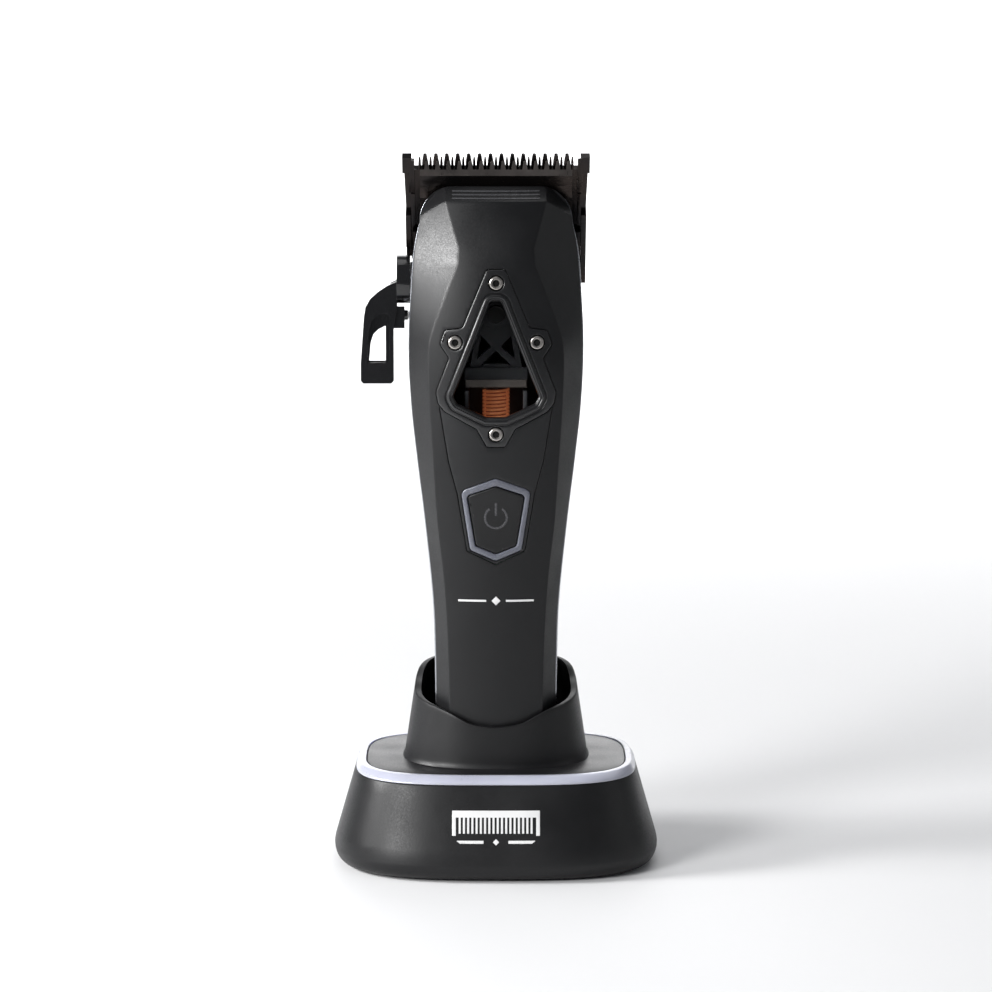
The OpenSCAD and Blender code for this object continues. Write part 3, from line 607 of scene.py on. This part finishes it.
bezel_line = ccw(rounded(BEZEL_OUT, BEZEL_R + BEZEL_R[::-1]))
window_line = ccw(rounded(WINDOW, [1.0, 1.0, 1.0, 0.9, 0.9, 1.0, 1.0, 1.0]))
panel_line = ccw(rounded(PANEL_OUT, 0.5))
ring_line = ccw(rounded(RING_OUT, [1.2, 1.4, 1.8, 1.6, 1.8, 1.4]))
button_line = ccw(rounded(BUTTON_OUT, [0.8, 0.9, 1.0, 1.0, 1.0, 0.9]))


def circle(x, z, r, n=28):
    """A closed outline round (x, z)."""
    angles = [2 * math.pi * i / n for i in range(n)]
    return [(x + r * math.cos(t), z + r * math.sin(t)) for t in angles]


# ---------------------------------------------------------------- front shell


def silhouette():
    """The handle's outline seen from the front."""
    arc = [SHOULDER + (TOP - SHOULDER) * math.sin(t) for t in np.linspace(0.05, 1.5, 18)]
    zs = [0.0, *np.arange(1.2, SHOULDER, 1.2), *arc, TOP]
    right = [(body_half(z), z) for z in zs]
    top = [(x, TOP) for x in np.linspace(TOP_HALF - 0.5, 0.5 - TOP_HALF, 24)]
    left = [(-x, z) for x, z in right[::-1]]
    foot = [(x, 0.0) for x in np.linspace(-13.5, 13.5, 28)]
    return right + top + left + foot


def shell_points():
    """Points that follow the creases, so that they stay crisp."""
    pts = []
    for z in [*np.arange(0.9, 126, 0.9), *np.arange(126, 140, 0.45), *np.arange(140.1, 149.5, 0.3)]:
        c, w = crease(z), body_half(z)
        xs = list(np.linspace(0, c - 0.6, 22)) + [c + d for d in (-0.35, -0.15, 0, 0.15, 0.35, 0.6)]
        xs += list(np.linspace(c + 1.2, w - 1.0, 7)) if w - c > 2.6 else []
        for x in xs:
            pts.append((x, z))
            if x > 0.05:
                pts.append((-x, z))
    return np.array(pts)


# Gap round the bezel and the panel, and the depth and thickness of the floor under them
GAP, FLOOR_DEEP, FLOOR_THICK = 0.12, 1.45, 0.9
pocket = inset(bezel_line, -GAP)


def combine(a, b, keep):
    """Outline of two overlapping closed outlines taken together, where keep(in_a, in_b) says what stays."""
    pts = a + b
    edges = [(i, (i + 1) % len(a)) for i in range(len(a))]
    edges += [(len(a) + i, len(a) + (i + 1) % len(b)) for i in range(len(b))]
    v, _, f, _, _, _ = delaunay_2d_cdt([Vector(p) for p in pts], edges, [], 0, 1e-5)
    mids = np.array([[sum(v[i].x for i in t) / 3, sum(v[i].y for i in t) / 3] for t in f])
    border = {}
    for t, good in zip(f, keep(inside(a, mids), inside(b, mids))):
        if good:
            for i in range(3):
                border[(t[i], t[(i + 1) % 3])] = True
    follow = {e[0]: e[1] for e in border if (e[1], e[0]) not in border}
    start = next(iter(follow))
    loop, k = [start], follow[start]
    while k != start:
        if (v[k] - v[loop[-1]]).length > 0.05:
            loop.append(k)
        k = follow[k]
    return [(v[i].x, v[i].y) for i in loop]


def front_shell():
    """The skin, its side walls back to the joint, and the floor under the bezel and the panel."""
    hole = combine(pocket, inset(panel_line, -GAP), lambda a, b: a | b)
    line = ccw(silhouette())
    front = lifted_mesh(line, [hole], skin, 0.1, edge=0.12, points=shell_points(), step=0.6)
    back = inset(line, WALL)
    rim = PART_Y - 0.5
    side = skin_rings([[(x, skin(x, z) + 0.1, z) for x, z in line], [(x, rim - 0.1, z) for x, z in line],
                       [(x * 0.995, rim, z) for x, z in line], [(x, rim, z) for x, z in back],
                       [(x, min(skin(x, z) + WALL, rim - 0.1), z) for x, z in back]], capped=False)
    openings = [inset(window_line, -0.4), inset(button_line, -0.3)]
    floor = lifted_mesh(hole, openings, lambda x, z: skin(x, z) + FLOOR_DEEP, FLOOR_THICK, edge=0.1, step=1.5)
    verts, faces = join_parts([front, side, floor])
    obj = add_object("front_shell_look", seated(verts), faces, SHELL, "clipper", 14,
                     weld=0.004)
    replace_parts(obj, "front_shell")


# ---------------------------------------------------------------- rear shell and trim

# Where the blade set sits, leaning back
BLADE_PLACE = Matrix.Translation((0, -6, 157.2 + SEAT)) @ Matrix.Rotation(math.radians(29), 4, "X")
# Power that squares the rear shell's section
POWER = 2 / 2.8
LEVER_Y, LEVER_Z = 5, 126.3 + SEAT
# Housing screws
BOSSES = [(-12.9, 76.3), (12.9, 76.3), (-14.9, 115), (14.9, 115)]


def back_arc(z, g, n=60):
    """The rear shell's section at height z, g inside its outer face."""
    w, d = body_half(z) - g, curve(BACK, z) - g - PART_Y
    out = []
    for i in range(n + 1):
        t = math.pi * i / n
        x = w * math.copysign(abs(math.cos(t)) ** POWER, math.cos(t))
        out.append((x, max(PART_Y + 0.5, PART_Y + d * math.sin(t) ** POWER), z + SEAT))
    return out


def rear_shell():
    """The hollow back with its cut-outs for the blade set, the lever's shaft and the housing screws."""
    arc = [SHOULDER + 8.5 * math.sin(t) for t in np.linspace(0.02, 1.45, 10)]
    levels = [0, 0.25, *np.arange(1.2, SHOULDER, 1.4), *arc]
    rings = [back_arc(z, 0.25 if z == 0 else 0) + back_arc(z, WALL)[::-1] for z in levels]
    verts, faces = skin_rings(rings)
    obj = add_object("rear_shell_look", verts, faces, SHELL, "clipper", 38)
    # Room for the blade set in its own frame, then the hole for the lever's shaft and the screws' seats
    cutters = [box_cutter((-30, -2, -38), (30, 58, 22), BLADE_PLACE),
               box_cutter((-30, -2.9, -20), (30, 40, 30), BLADE_PLACE),
               box_cutter((-10, -3.8, -27), (10, 6.2, -15), BLADE_PLACE),
               box_cutter((-18, -8.4, -37.8), (-15, 11.6, -25.2), BLADE_PLACE),
               tube_cutter((-25, LEVER_Y, LEVER_Z), (-12, LEVER_Y, LEVER_Z), 3.08)]
    for x, z in BOSSES:
        seat = curve(BACK, z) - (8.2 if z > 100 else 5.2)
        cutters.append(tube_cutter((x, seat, z + SEAT), (x, seat + 20, z + SEAT), 2.1))
    cut(obj, cutters, 38)
    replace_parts(obj, "rear_shell")


def lever_boss(n=48):
    """The collar round the lever's shaft, turned from a section of (radius, x)."""
    section = [(3.1, -17.8), (4.3, -17.8), (4.3, -20.1), (4.15, -20.33), (3.9, -20.4), (3.1, -20.4)]
    angles = [2 * math.pi * i / n for i in range(n)]
    rings = [[(x, LEVER_Y + r * math.cos(t), LEVER_Z + r * math.sin(t)) for t in angles]
             for r, x in section + section[:1]]
    verts, faces = skin_rings(rings, capped=False)
    add_object("lever_boss", verts, faces, SHELL, "clipper", 38, weld=0.001)


def side_trim():
    """The bright band between the shells, up both sides; the section is (distance outward, depth)."""
    section = [(-1.5, -4.45), (0.15, -4.45), (0.29, -4.38), (0.35, -4.2), (0.35, -3.8), (0.29, -3.62),
               (0.15, -3.55), (-1.5, -3.55)]
    parts = []
    for side in (-1, 1):
        rings = []
        for z in [*np.arange(0, SHOULDER, 1.5), *np.arange(SHOULDER, 146.9, 0.5)]:
            tuck = 0.25 * max(0, min(1, (z - 132) / 9))
            rings.append([(side * (body_half(z) + g - tuck), y, z + SEAT) for g, y in section])
        parts.append(skin_rings(rings))
    verts, faces = join_parts(parts)
    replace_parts(add_object("side_trim_look", verts, faces, TRIM, "clipper", 40), "side_trim")


# ---------------------------------------------------------------- window, panel and button

# Width of the window's raised lip, and the lip's steps as (distance inward, height)
LIP = 2.0
LIP_STEPS = [(0, 1.2), (0, -0.2), (0.1, -0.08), (0.3, -0.08), (0.4, -0.3), (0.5, -0.47), (0.62, -0.52),
             (1.0, -0.52), (1.08, -0.46), (1.14, -0.22), (1.22, -0.18), (1.5, -0.18), (1.57, -0.12),
             (1.63, 0.25), (1.7, 0.32), (1.88, 0.5), (2, 0.75), (2, 2.3)]


def strip(loop, profile):
    """Bands that follow a closed outline: profile is a list of (distance outward, height)."""
    rings = [[(x, skin(x, z) + h, z) for x, z in inset(loop, -d)] for d, h in profile]
    return skin_rings(rings, capped=False)


def bezel():
    """The raised frame with its stepped lip, and the clear window in it."""
    holes = [inset(window_line, -LIP)] + [circle(x, z, 1.9) for x, z in HOLES]
    plate = lifted_mesh(bezel_line, holes, lambda x, z: skin(x, z) - 0.3, 1.7, edge=0.2, step=0.55)
    lip = strip(window_line, [(LIP - d, h) for d, h in LIP_STEPS])
    verts, faces = join_parts([plate, lip])
    obj = add_object("window_bezel_look", seated(verts), faces, BEZEL, "clipper", 35)
    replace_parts(obj, "window_bezel")
    lifted("window_lens", inset(window_line, -0.9), [], lambda x, z: skin(x, z) + 2.72, 0.85, LENS, "clipper",
           "clear_lens", edge=0.1)


def coil():
    """Seventeen turns of wire on the bobbin, in copper with a faint painted glow."""
    lo, hi = (Vector(v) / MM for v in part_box("coil_winding"))
    wire, steps, turns = 0.33, 40, 17
    r = (hi.x - lo.x) / 2 - wire
    rise = (hi.z - lo.z - 2 * wire) / turns
    rings = []
    for i in range(steps * turns + 1):
        t = 2 * math.pi * i / steps
        c, s = math.cos(t), math.sin(t)
        centre = Vector(((lo.x + hi.x) / 2 + r * c, (lo.y + hi.y) / 2 + r * s,
                         lo.z + wire + rise * i / steps))
        rings.append([centre + wire * (math.cos(a) * Vector((c, s, 0)) + math.sin(a) * Vector((0, 0, 1)))
                      for a in np.linspace(0, 2 * math.pi, 10, endpoint=False)])
    verts, faces = skin_rings(rings)
    obj = add_object("coil_winding_look", verts, faces, COPPER_PAINTED_GLOW, "clipper", 60)
    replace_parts(obj, "coil_winding")


def socket_screw(x, z, r=1.64, high=0.45, deep=1.35, hexagon=0.95, n=48):
    """A screw head that faces forward, with a hexagonal socket."""
    top = skin(x, z) - high

    def ring(radius, drop, six=False):
        """A circle or a hexagon, drop below the head's top."""
        out = []
        for i in range(n):
            t = 2 * math.pi * i / n
            turn = (t + math.pi / 6) % (math.pi / 3) - math.pi / 6
            k = math.cos(math.pi / 6) / math.cos(turn) if six else 1.0
            out.append((x + radius * k * math.cos(t), top + drop, z + SEAT + radius * k * math.sin(t)))
        return out

    return skin_rings([ring(r, deep), ring(r, 0.35), ring(r - 0.06, 0.16), ring(r - 0.2, 0.04),
                       ring(r - 0.38, 0), ring(hexagon + 0.2, 0), ring(hexagon + 0.03, 0.05, True),
                       ring(hexagon - 0.02, 0.14, True), ring(hexagon - 0.02, 0.95, True), ring(0.3, 1.15)])


def bezel_screws():
    """The four screws in the bezel, with dark floors in their sockets, which are painted shade."""
    verts, faces = join_parts([socket_screw(x, z) for x, z in HOLES])
    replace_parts(add_object("bezel_screws_look", verts, faces, SCREW, "clipper", 35), "bezel_screws")
    # Dark discs part way down each socket: painted shade where the socket's depth lies in shadow
    painted_shade_discs = []
    for x, z in HOLES:
        floor = skin(x, z) + 0.2
        painted_shade_discs.append(lifted_mesh(circle(x, z, 0.8, 6), [], lambda a, b: floor, 0.12, edge=0.04, step=0.5))
    verts, faces = join_parts(painted_shade_discs)
    add_object("screw_socket_painted_shade", seated(verts), faces, OXIDE_AND_PAINTED_SHADE, "clipper", 35)


def dished(x, z):
    """The button's face, very slightly hollow."""
    return skin(x, z) + 0.22 * max(0, 1 - (x / 6.5) ** 2 - ((z - 70) / 9) ** 2)


def oblong(x0, z0, x1, z1):
    """A rectangle's outline."""
    return [(x0, z0), (x1, z0), (x1, z1), (x0, z1)]


def power_sign():
    """The generic power symbol, an open ring with a bar, raised on the button in a lighter grey that is a
    painted highlight.
    """
    outer, inner = 2.9, 2.35
    ends = [math.radians(a) for a in np.linspace(125, 415, 44)]
    loop = [(outer * math.cos(a), ICON_Z + outer * math.sin(a)) for a in ends]
    loop += [(inner * math.cos(a), ICON_Z + inner * math.sin(a)) for a in ends[::-1]]
    bar = rounded(oblong(-0.28, ICON_Z + 0.5, 0.28, ICON_Z + 3.7), 0.2)
    verts, faces = join_parts([lifted_mesh(q, [], lambda x, z: dished(x, z) - 0.07, 0.3, edge=0.06, step=0.6)
                               for q in (loop, bar)])
    add_object("power_sign", seated(verts), faces, ICON_PAINTED_GLINT, "button", 40)


def panel_and_button():
    """The tapered panel, the lit ring in it and the button in the ring."""
    shape = combine(inset(panel_line, 0.02), pocket, lambda a, b: a & ~b)
    lifted("centre_panel", shape, [inset(ring_line, -0.1)], skin, 1.3, PANEL, "clipper", "bezel_black",
           edge=0.16, step=1.0)
    lifted("button_light_ring", ring_line, [inset(button_line, -0.15)], lambda x, z: skin(x, z) - 0.15, 1.4,
           BUTTON_RING, "clipper", "frosted_white", edge=0.4, step=0.6)
    lifted("power_button", button_line, [], dished, 2.2, BUTTON, "button", "bezel_black", edge=0.35, step=0.6)
    power_sign()


# ---------------------------------------------------------------- lip ribs and plain printing

# Height and thickness of a printed shape
PRINT_HIGH, PRINT_THICK = 0.012, 0.1


def lip_ribs():
    """Three plain ribs on the slope below the blades, in a lighter grey that is a painted highlight."""
    half, high = 10.6, 0.16
    parts = []
    for z in (147.1, 147.9, 148.7):
        bar = rounded(oblong(-half, z - high, half, z + high), 0.14)
        parts.append(lifted_mesh(bar, [], lambda x, z: skin(x, z) - 0.26, 0.6, edge=0.1, step=0.5))
    verts, faces = join_parts(parts)
    add_object("lip_ribs", seated(verts), faces, ICON_PAINTED_GLINT, "clipper", 40)


def diamond(z, r):
    """A diamond's outline at height z."""
    return [(-r, z), (0, z - r), (r, z), (0, z + r)]


def printed(shapes, surface, radius, step):
    """Vertices and faces of thin shapes on the surface y = surface(x, z)."""
    return join_parts([lifted_mesh(rounded(q, radius), [], lambda x, z: surface(x, z) - PRINT_HIGH,
                                   PRINT_THICK, edge=0.02, step=step) for q in shapes])


def handle_print():
    """A diamond between two short rules."""
    z, half, long = 49.6, 0.25, 6.8
    rules = [oblong(x, z - half, x + long, z + half) for x in (-9.2, 2.4)]
    verts, faces = printed([diamond(z, 1.1)] + rules, skin, 0.08, 0.8)
    add_object("handle_print", seated(verts), faces, PRINT, "clipper", 40)


# ---------------------------------------------------------------- charging stand, as in the CAD

# Half width and half depth: of the skirt's widest line, of its top, and of the light ring's inner edge
FOOT_W, FOOT_D = 40, 32.8
SKIRT_W, SKIRT_D = 34.6, 28.8
RING_W, RING_D = 33.2, 26.5
# Heights of the skirt's widest line, of its top and of the deck
BELLY_Z, SKIRT_Z, DECK_Z = 4.5, 23, 24.8
# How far the top lies back from the foot, and the powers that square the ovals
TOP_Y, FOOT_POWER, TOP_POWER, CUP_POWER = 2, 3, 3.4, 2.8
SKIRT_WALL, CUP_WALL = 2.4, 1.7
# The cup's half width, half depth and offset backward at the deck, and how much it narrows for each mm up
CUP_W, CUP_D, CUP_Y, CUP_TAPER_W, CUP_TAPER_D = 22.8, 18.8, 2.4, 0.15, 0.04
# Flare at the cup's foot and its height
FLARE, FLARE_H = 0.35, 1.4
# Knots of (angle from the front, height) for the cup's rim
RIM = [(0, 34.9), (13, 35.9), (19, 36.9), (26, 38), (35, 39), (44, 39.6), (66, 40.7), (82, 41.8), (92, 43.6),
       (105, 45.7), (123, 46.8), (180, 48)]


def oval(a, b, z, m=FOOT_POWER, n=192, yc=0.0):
    """A squared oval of half width a and half depth b at height z."""
    out = []
    for i in range(n):
        t = 2 * math.pi * i / n
        c, s = math.cos(t), math.sin(t)
        out.append((a * math.copysign(abs(c) ** (2 / m), c), yc + b * math.copysign(abs(s) ** (2 / m), s), z))
    return out


def skirt_size(z):
    """Half width, half depth, power and offset backward of the skirt at height z."""
    u = max(0, (z - BELLY_Z) / (SKIRT_Z - BELLY_Z))
    return mix(FOOT_W, SKIRT_W, u), mix(FOOT_D, SKIRT_D, u), mix(FOOT_POWER, TOP_POWER, u), TOP_Y * u


def skirt_ring(z, g=0.0):
    """Ring round the skirt at height z, g inside its outer face."""
    a, b, power, back = skirt_size(z)
    tuck = g + 2.8 * (1 - math.sqrt(1 - (max(0, BELLY_Z - z) / 4) ** 2))
    return oval(a - tuck, b - tuck, z, power, yc=back)


def top_ring(a, b, z):
    """Ring of the stand's top."""
    return oval(a, b, z, TOP_POWER, yc=TOP_Y)


def band(node, rings, mat):
    """A closed ring of the stand, in place of the CAD node."""
    verts, faces = skin_rings(rings + rings[:1], capped=False)
    obj = add_object(node + "_look", verts, faces, mat, "stand", 38, weld=0.001)
    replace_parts(obj, node)
    return obj


def skirt():
    """The flared outer wall, with the inlet's slot at the back."""
    outer = [skirt_ring(z) for z in (0.8, 0.9, 1.1, 1.4, 1.8, 2.3, 2.9, 3.6, BELLY_Z, 8, 12, 16, 20, 22.6)]
    edge = [skirt_ring(SKIRT_Z - h, g) for h, g in ((0.15, 0.05), (0.03, 0.18), (0, 0.4))]
    a, b = RING_W - 1, RING_D - 1
    inner = [top_ring(a, b, SKIRT_Z), top_ring(a, b, 20.8)]
    inner += [skirt_ring(z, SKIRT_WALL) for z in (20.6, 12, BELLY_Z)]
    inner += [skirt_ring(2.9, SKIRT_WALL + 0.2)] + [oval(FOOT_W - 5.4, FOOT_D - 5.4, z) for z in (2.8, 0.8)]
    obj = band("base_skirt", outer + edge + inner, STAND)
    cut(obj, [box_cutter((-4.6, 22, 7.7), (4.6, 40, 11.3))])


def light_ring():
    """The frosted ring between the skirt and the deck."""
    low = [(0, 0.05), (0, 0.2), (0.12, 0.45), (0.35, 0.7)]
    high = [(0.4, -0.02), (0.1, 0.08), (-0.2, 0.1), (-0.85, 0.1), (-1, -0.05)]
    rings = [top_ring(SKIRT_W - g, SKIRT_D - g, SKIRT_Z + h) for g, h in low]
    rings += [top_ring(RING_W + g, RING_D + g, DECK_Z + h) for g, h in high]
    rings += [top_ring(RING_W - 1, RING_D - 1, SKIRT_Z + 0.05)]
    band("light_ring", rings, FROST)


def top_deck():
    """The flat top with the cup's opening."""
    a, b = RING_W - 1.2, RING_D - 1.2
    rings = [top_ring(a, b, 21.4), top_ring(a, b, DECK_Z - 0.35), top_ring(a - 0.1, b - 0.1, DECK_Z - 0.12),
             top_ring(a - 0.35, b - 0.35, DECK_Z), oval(24, 20.5, DECK_Z, 3, yc=1.4),
             oval(17.9, 17.1, DECK_Z, CUP_POWER, yc=0.6), oval(17.9, 17.1, 21.4, CUP_POWER, yc=0.6)]
    band("top_deck", rings, DECK)


def rim_z(t):
    """Height of the cup's rim at angle t in degrees, lowest at the front."""
    return curve(RIM, abs((t + 270) % 360 - 180))


def cup_ring(foot, u, g=0.0, grow=0.0, up=0.0, n=216):
    """Ring round the cup between its foot (u = 0) and its rim (u = 1), g inside the outer face."""
    out, p = [], 2 / (CUP_POWER if g else 2.5)
    for i in range(n):
        t = 360 * i / n
        z = mix(foot, rim_z(t), u) + up
        h = z - DECK_Z
        flare = 0 if g else FLARE * max(0, 1 - h / FLARE_H) ** 2
        a = CUP_W - CUP_TAPER_W * h + flare - g + grow
        b = CUP_D - CUP_TAPER_D * h + flare - 0.75 * g + grow
        c, s = math.cos(math.radians(t)), math.sin(math.radians(t))
        out.append((a * math.copysign(abs(c) ** p, c), CUP_Y + b * math.copysign(abs(s) ** p, s), z))
    return out


def cup():
    """The cup, from its socket under the deck up over its rim and down to its floor."""
    n, foot, floor = 216, DECK_Z + 0.02, DECK_Z + 1.6
    rings = [oval(17.7, 16.9, 11.4, CUP_POWER, n, 0.6), oval(17.7, 16.9, DECK_Z, CUP_POWER, n, 0.6)]
    rings += [cup_ring(foot, 0, up=h) for h in (0, 0.2, 0.5, 0.9, FLARE_H)]
    rings += [cup_ring(foot + FLARE_H, k / 12) for k in range(1, 12)]
    rings += [cup_ring(foot, 1, 0, g, h) for g, h in ((0, -0.4), (-0.05, -0.16), (-0.22, -0.03), (-0.45, 0))]
    rings += [cup_ring(foot, 1, CUP_WALL, g, h) for g, h in ((0.35, 0), (0.12, -0.05), (0.01, -0.25))]
    rings += [cup_ring(floor, 1 - k / 10, CUP_WALL) for k in range(1, 11)]
    rings += [oval(15.8, 15.1, floor, CUP_POWER, n), oval(15.8, 15.1, 13.4, CUP_POWER, n),
              oval(15.4, 14.7, 13, CUP_POWER, n)]
    verts, faces = skin_rings(rings)
    obj = add_object("charging_cup_look", verts, faces, STAND, "stand", 38)
    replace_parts(obj, "charging_cup")


def skirt_front(x, z):
    """Depth of the skirt's outer face at its front."""
    a, b, power, back = skirt_size(z)
    return back - b * (1 - (abs(x) / a) ** power) ** (1 / power)


def stand_print():
    """A plain comb above two slanted rules and a diamond, printed on the front of the stand."""
    # The comb's half width, and the heights of its spine, its teeth's roots and tips and its guards' tips
    half, spine, root, tip, low = 10.6, 17.2, 15.6, 11.9, 11.4
    guard, thick, pitch = 0.9, 0.5, 1.02
    comb = [(-half, spine), (-half, low), (guard - half, low), (guard - half, root)]
    for x in [-9.0 + pitch * i for i in range(18)]:
        comb += [(x, root), (x, tip), (x + thick, tip), (x + thick, root)]
    comb += [(half - guard, root), (half - guard, low), (half, low), (half, spine)]
    rule = [(-9.6, 10.3), (-8.7, 9.6), (-3.0, 9.6), (-3.0, 10.3)]
    shapes = [comb, rule, [(-x, z) for x, z in rule], diamond(9.95, 0.75)]
    verts, faces = printed(shapes, skirt_front, 0.07, 1.0)
    add_object("stand_print", verts, faces, PRINT, "stand", 40)


# ---------------------------------------------------------------- pieces that keep their CAD shape

# Material and width of the rounded edges
ROUNDED = {"fixed_blade": (BLADE, 0.16), "cutter": (BLADE, 0.12), "blade_carrier": (BLADE, 0.25),
           "taper_lever": (LEVER, 0.55), "cutter_yoke": (ACETAL, 0.3), "blade_screws": (STEEL, 0.12),
           "tension_spring": (STEEL, 0.1), "lever_screw": (STEEL, 0.12), "detent_screw": (LEVER, 0.15),
           "taper_camshaft": (STEEL, 0.12), "stator_yoke": (CORE, 0.15), "armature_magnet": (MAGNET, 0.2),
           "swing_arm": (ARM, 0.3), "coil_bobbin": (INNER, 0.15), "motor_frame": (INNER, 0.2),
           "housing_screws": (OXIDE_AND_PAINTED_SHADE, 0.15), "pivot_pin": (OXIDE_AND_PAINTED_SHADE, 0.15), "bottom_cap": (SHELL, 0.15),
           "base_plate": (STAND, 0.2), "rubber_feet": (RUBBER, 0.25), "base_screws": (STEEL, 0.12),
           "power_inlet": (STEEL, 0.12)}
# Pieces that only take a material
PLAIN = {"ballast_plate": CORE, "ring_leds": LED, "charging_block": INNER, "charging_pin_left": GOLD,
         "charging_pin_right": GOLD, "charging_board": MASK, "inlet_board": MASK, "charging_pads": GOLD,
         "battery_cell": WRAP, "battery_cradle": INNER, "circuit_board": MASK, "power_switch": INNER,
         "drive_finger": ACETAL, "lever_washer": STEEL, "detent_ball": STEEL}


def ground_edges():
    """Gives the ground slopes of the two blades their lighter finish."""
    turn = BLADE_PLACE.to_3x3()
    for node, tilt in (("cutter", 24), ("fixed_blade", 23)):
        mesh = bpy.data.objects[node + "_look"].data
        mesh.materials.append(GROUND)
        slope = turn @ Vector((0, -math.cos(math.radians(tilt)), math.sin(math.radians(tilt))))
        for face in mesh.polygons:
            if face.normal.dot(slope) > 0.98:
                face.material_index = 1


# ---------------------------------------------------------------- stage and light

# The floor runs back to REACH, then sweeps up with radius SWEEP into a wall of height WALL_TOP
HALF_WIDTH, NEAR, REACH, SWEEP, WALL_TOP = 1.5, -0.35, 2.5, 1.5, 5.0
WORLD_COLOR, WORLD_STRENGTH = (0.9, 0.94, 1), 0.17
# Name, place, target, size and power in watts of each soft light
LIGHTS = [("top", (-0.1, 0.05, 1.8), (-0.1, 0.05, 0), (0.9, 0.9), 3),
          ("left_high", (-1.0, -0.05, 0.6), (0, 0, 0.12), (0.3, 0.4), 5),
          ("left_near", (-0.36, -0.08, 0.21), (0, 0, 0.18), (0.1, 0.08), 1.5),
          ("front_left", (-0.7, -0.75, 0.45), (0, 0, 0.12), (0.35, 0.35), 10.5),
          ("right_fill", (0.9, -0.15, 0.4), (0, 0, 0.1), (0.6, 0.6), 0.5),
          ("floor_back", (0.45, 0.7, 1.0), (0.45, 0.45, 0), (0.8, 0.6), 2.6),
          ("backdrop", (0, 1.6, 2.4), (0, 4.0, 0.9), (3, 1.5), 270)]


def stage():
    """A pale floor that sweeps up into a wall far behind."""
    mat = material("floor_pale", (0.75, 0.75, 0.755), rough=0.7, grain=0.002, bump=0.01, vary=0.01, patch=0.3)
    arc = np.linspace(0.1, math.pi / 2, 14)
    path = [(NEAR, 0.0), (REACH, 0.0)]
    path += [(REACH + SWEEP * math.sin(t), SWEEP * (1 - math.cos(t))) for t in arc]
    path += [(REACH + SWEEP, WALL_TOP)]
    verts = [(x, y, z) for y, z in path for x in (-HALF_WIDTH, HALF_WIDTH)]
    faces = [(2 * i, 2 * i + 1, 2 * i + 3, 2 * i + 2) for i in range(len(path) - 1)]
    mesh = bpy.data.meshes.new("floor")
    mesh.from_pydata(verts, [], faces)
    mesh.shade_smooth()
    mesh.materials.append(mat)
    floor = bpy.data.objects.new("floor", mesh)
    bpy.context.collection.objects.link(floor)
    world = bpy.data.worlds.new("studio")
    world.use_nodes = True
    background = world.node_tree.nodes["Background"]
    background.inputs["Color"].default_value = (*WORLD_COLOR, 1)
    background.inputs["Strength"].default_value = WORLD_STRENGTH
    bpy.context.scene.world = world


def softbox(name, place, target, size, power):
    """A rectangular light that faces its target."""
    data = bpy.data.lights.new(name, "AREA")
    data.shape = "RECTANGLE"
    data.size, data.size_y = size
    data.energy = power
    light = bpy.data.objects.new(name, data)
    bpy.context.collection.objects.link(light)
    light.location = place
    light.rotation_euler = (Vector(target) - Vector(place)).to_track_quat("-Z", "Y").to_euler()


# ---------------------------------------------------------------- the whole scene

for build in (front_shell, rear_shell, lever_boss, side_trim, bezel, coil, bezel_screws, panel_and_button,
              lip_ribs, handle_print, skirt, light_ring, top_deck, cup, stand_print):
    build()
for node, (mat, width) in ROUNDED.items():
    refine(node, mat, width)
ground_edges()
for node, mat in PLAIN.items():
    mesh = frame["nodes"][node].data
    mesh.materials.clear()
    mesh.materials.append(mat)

stage()
for light in LIGHTS:
    softbox(*light)
bpy.context.scene.view_settings.view_transform = "Standard"
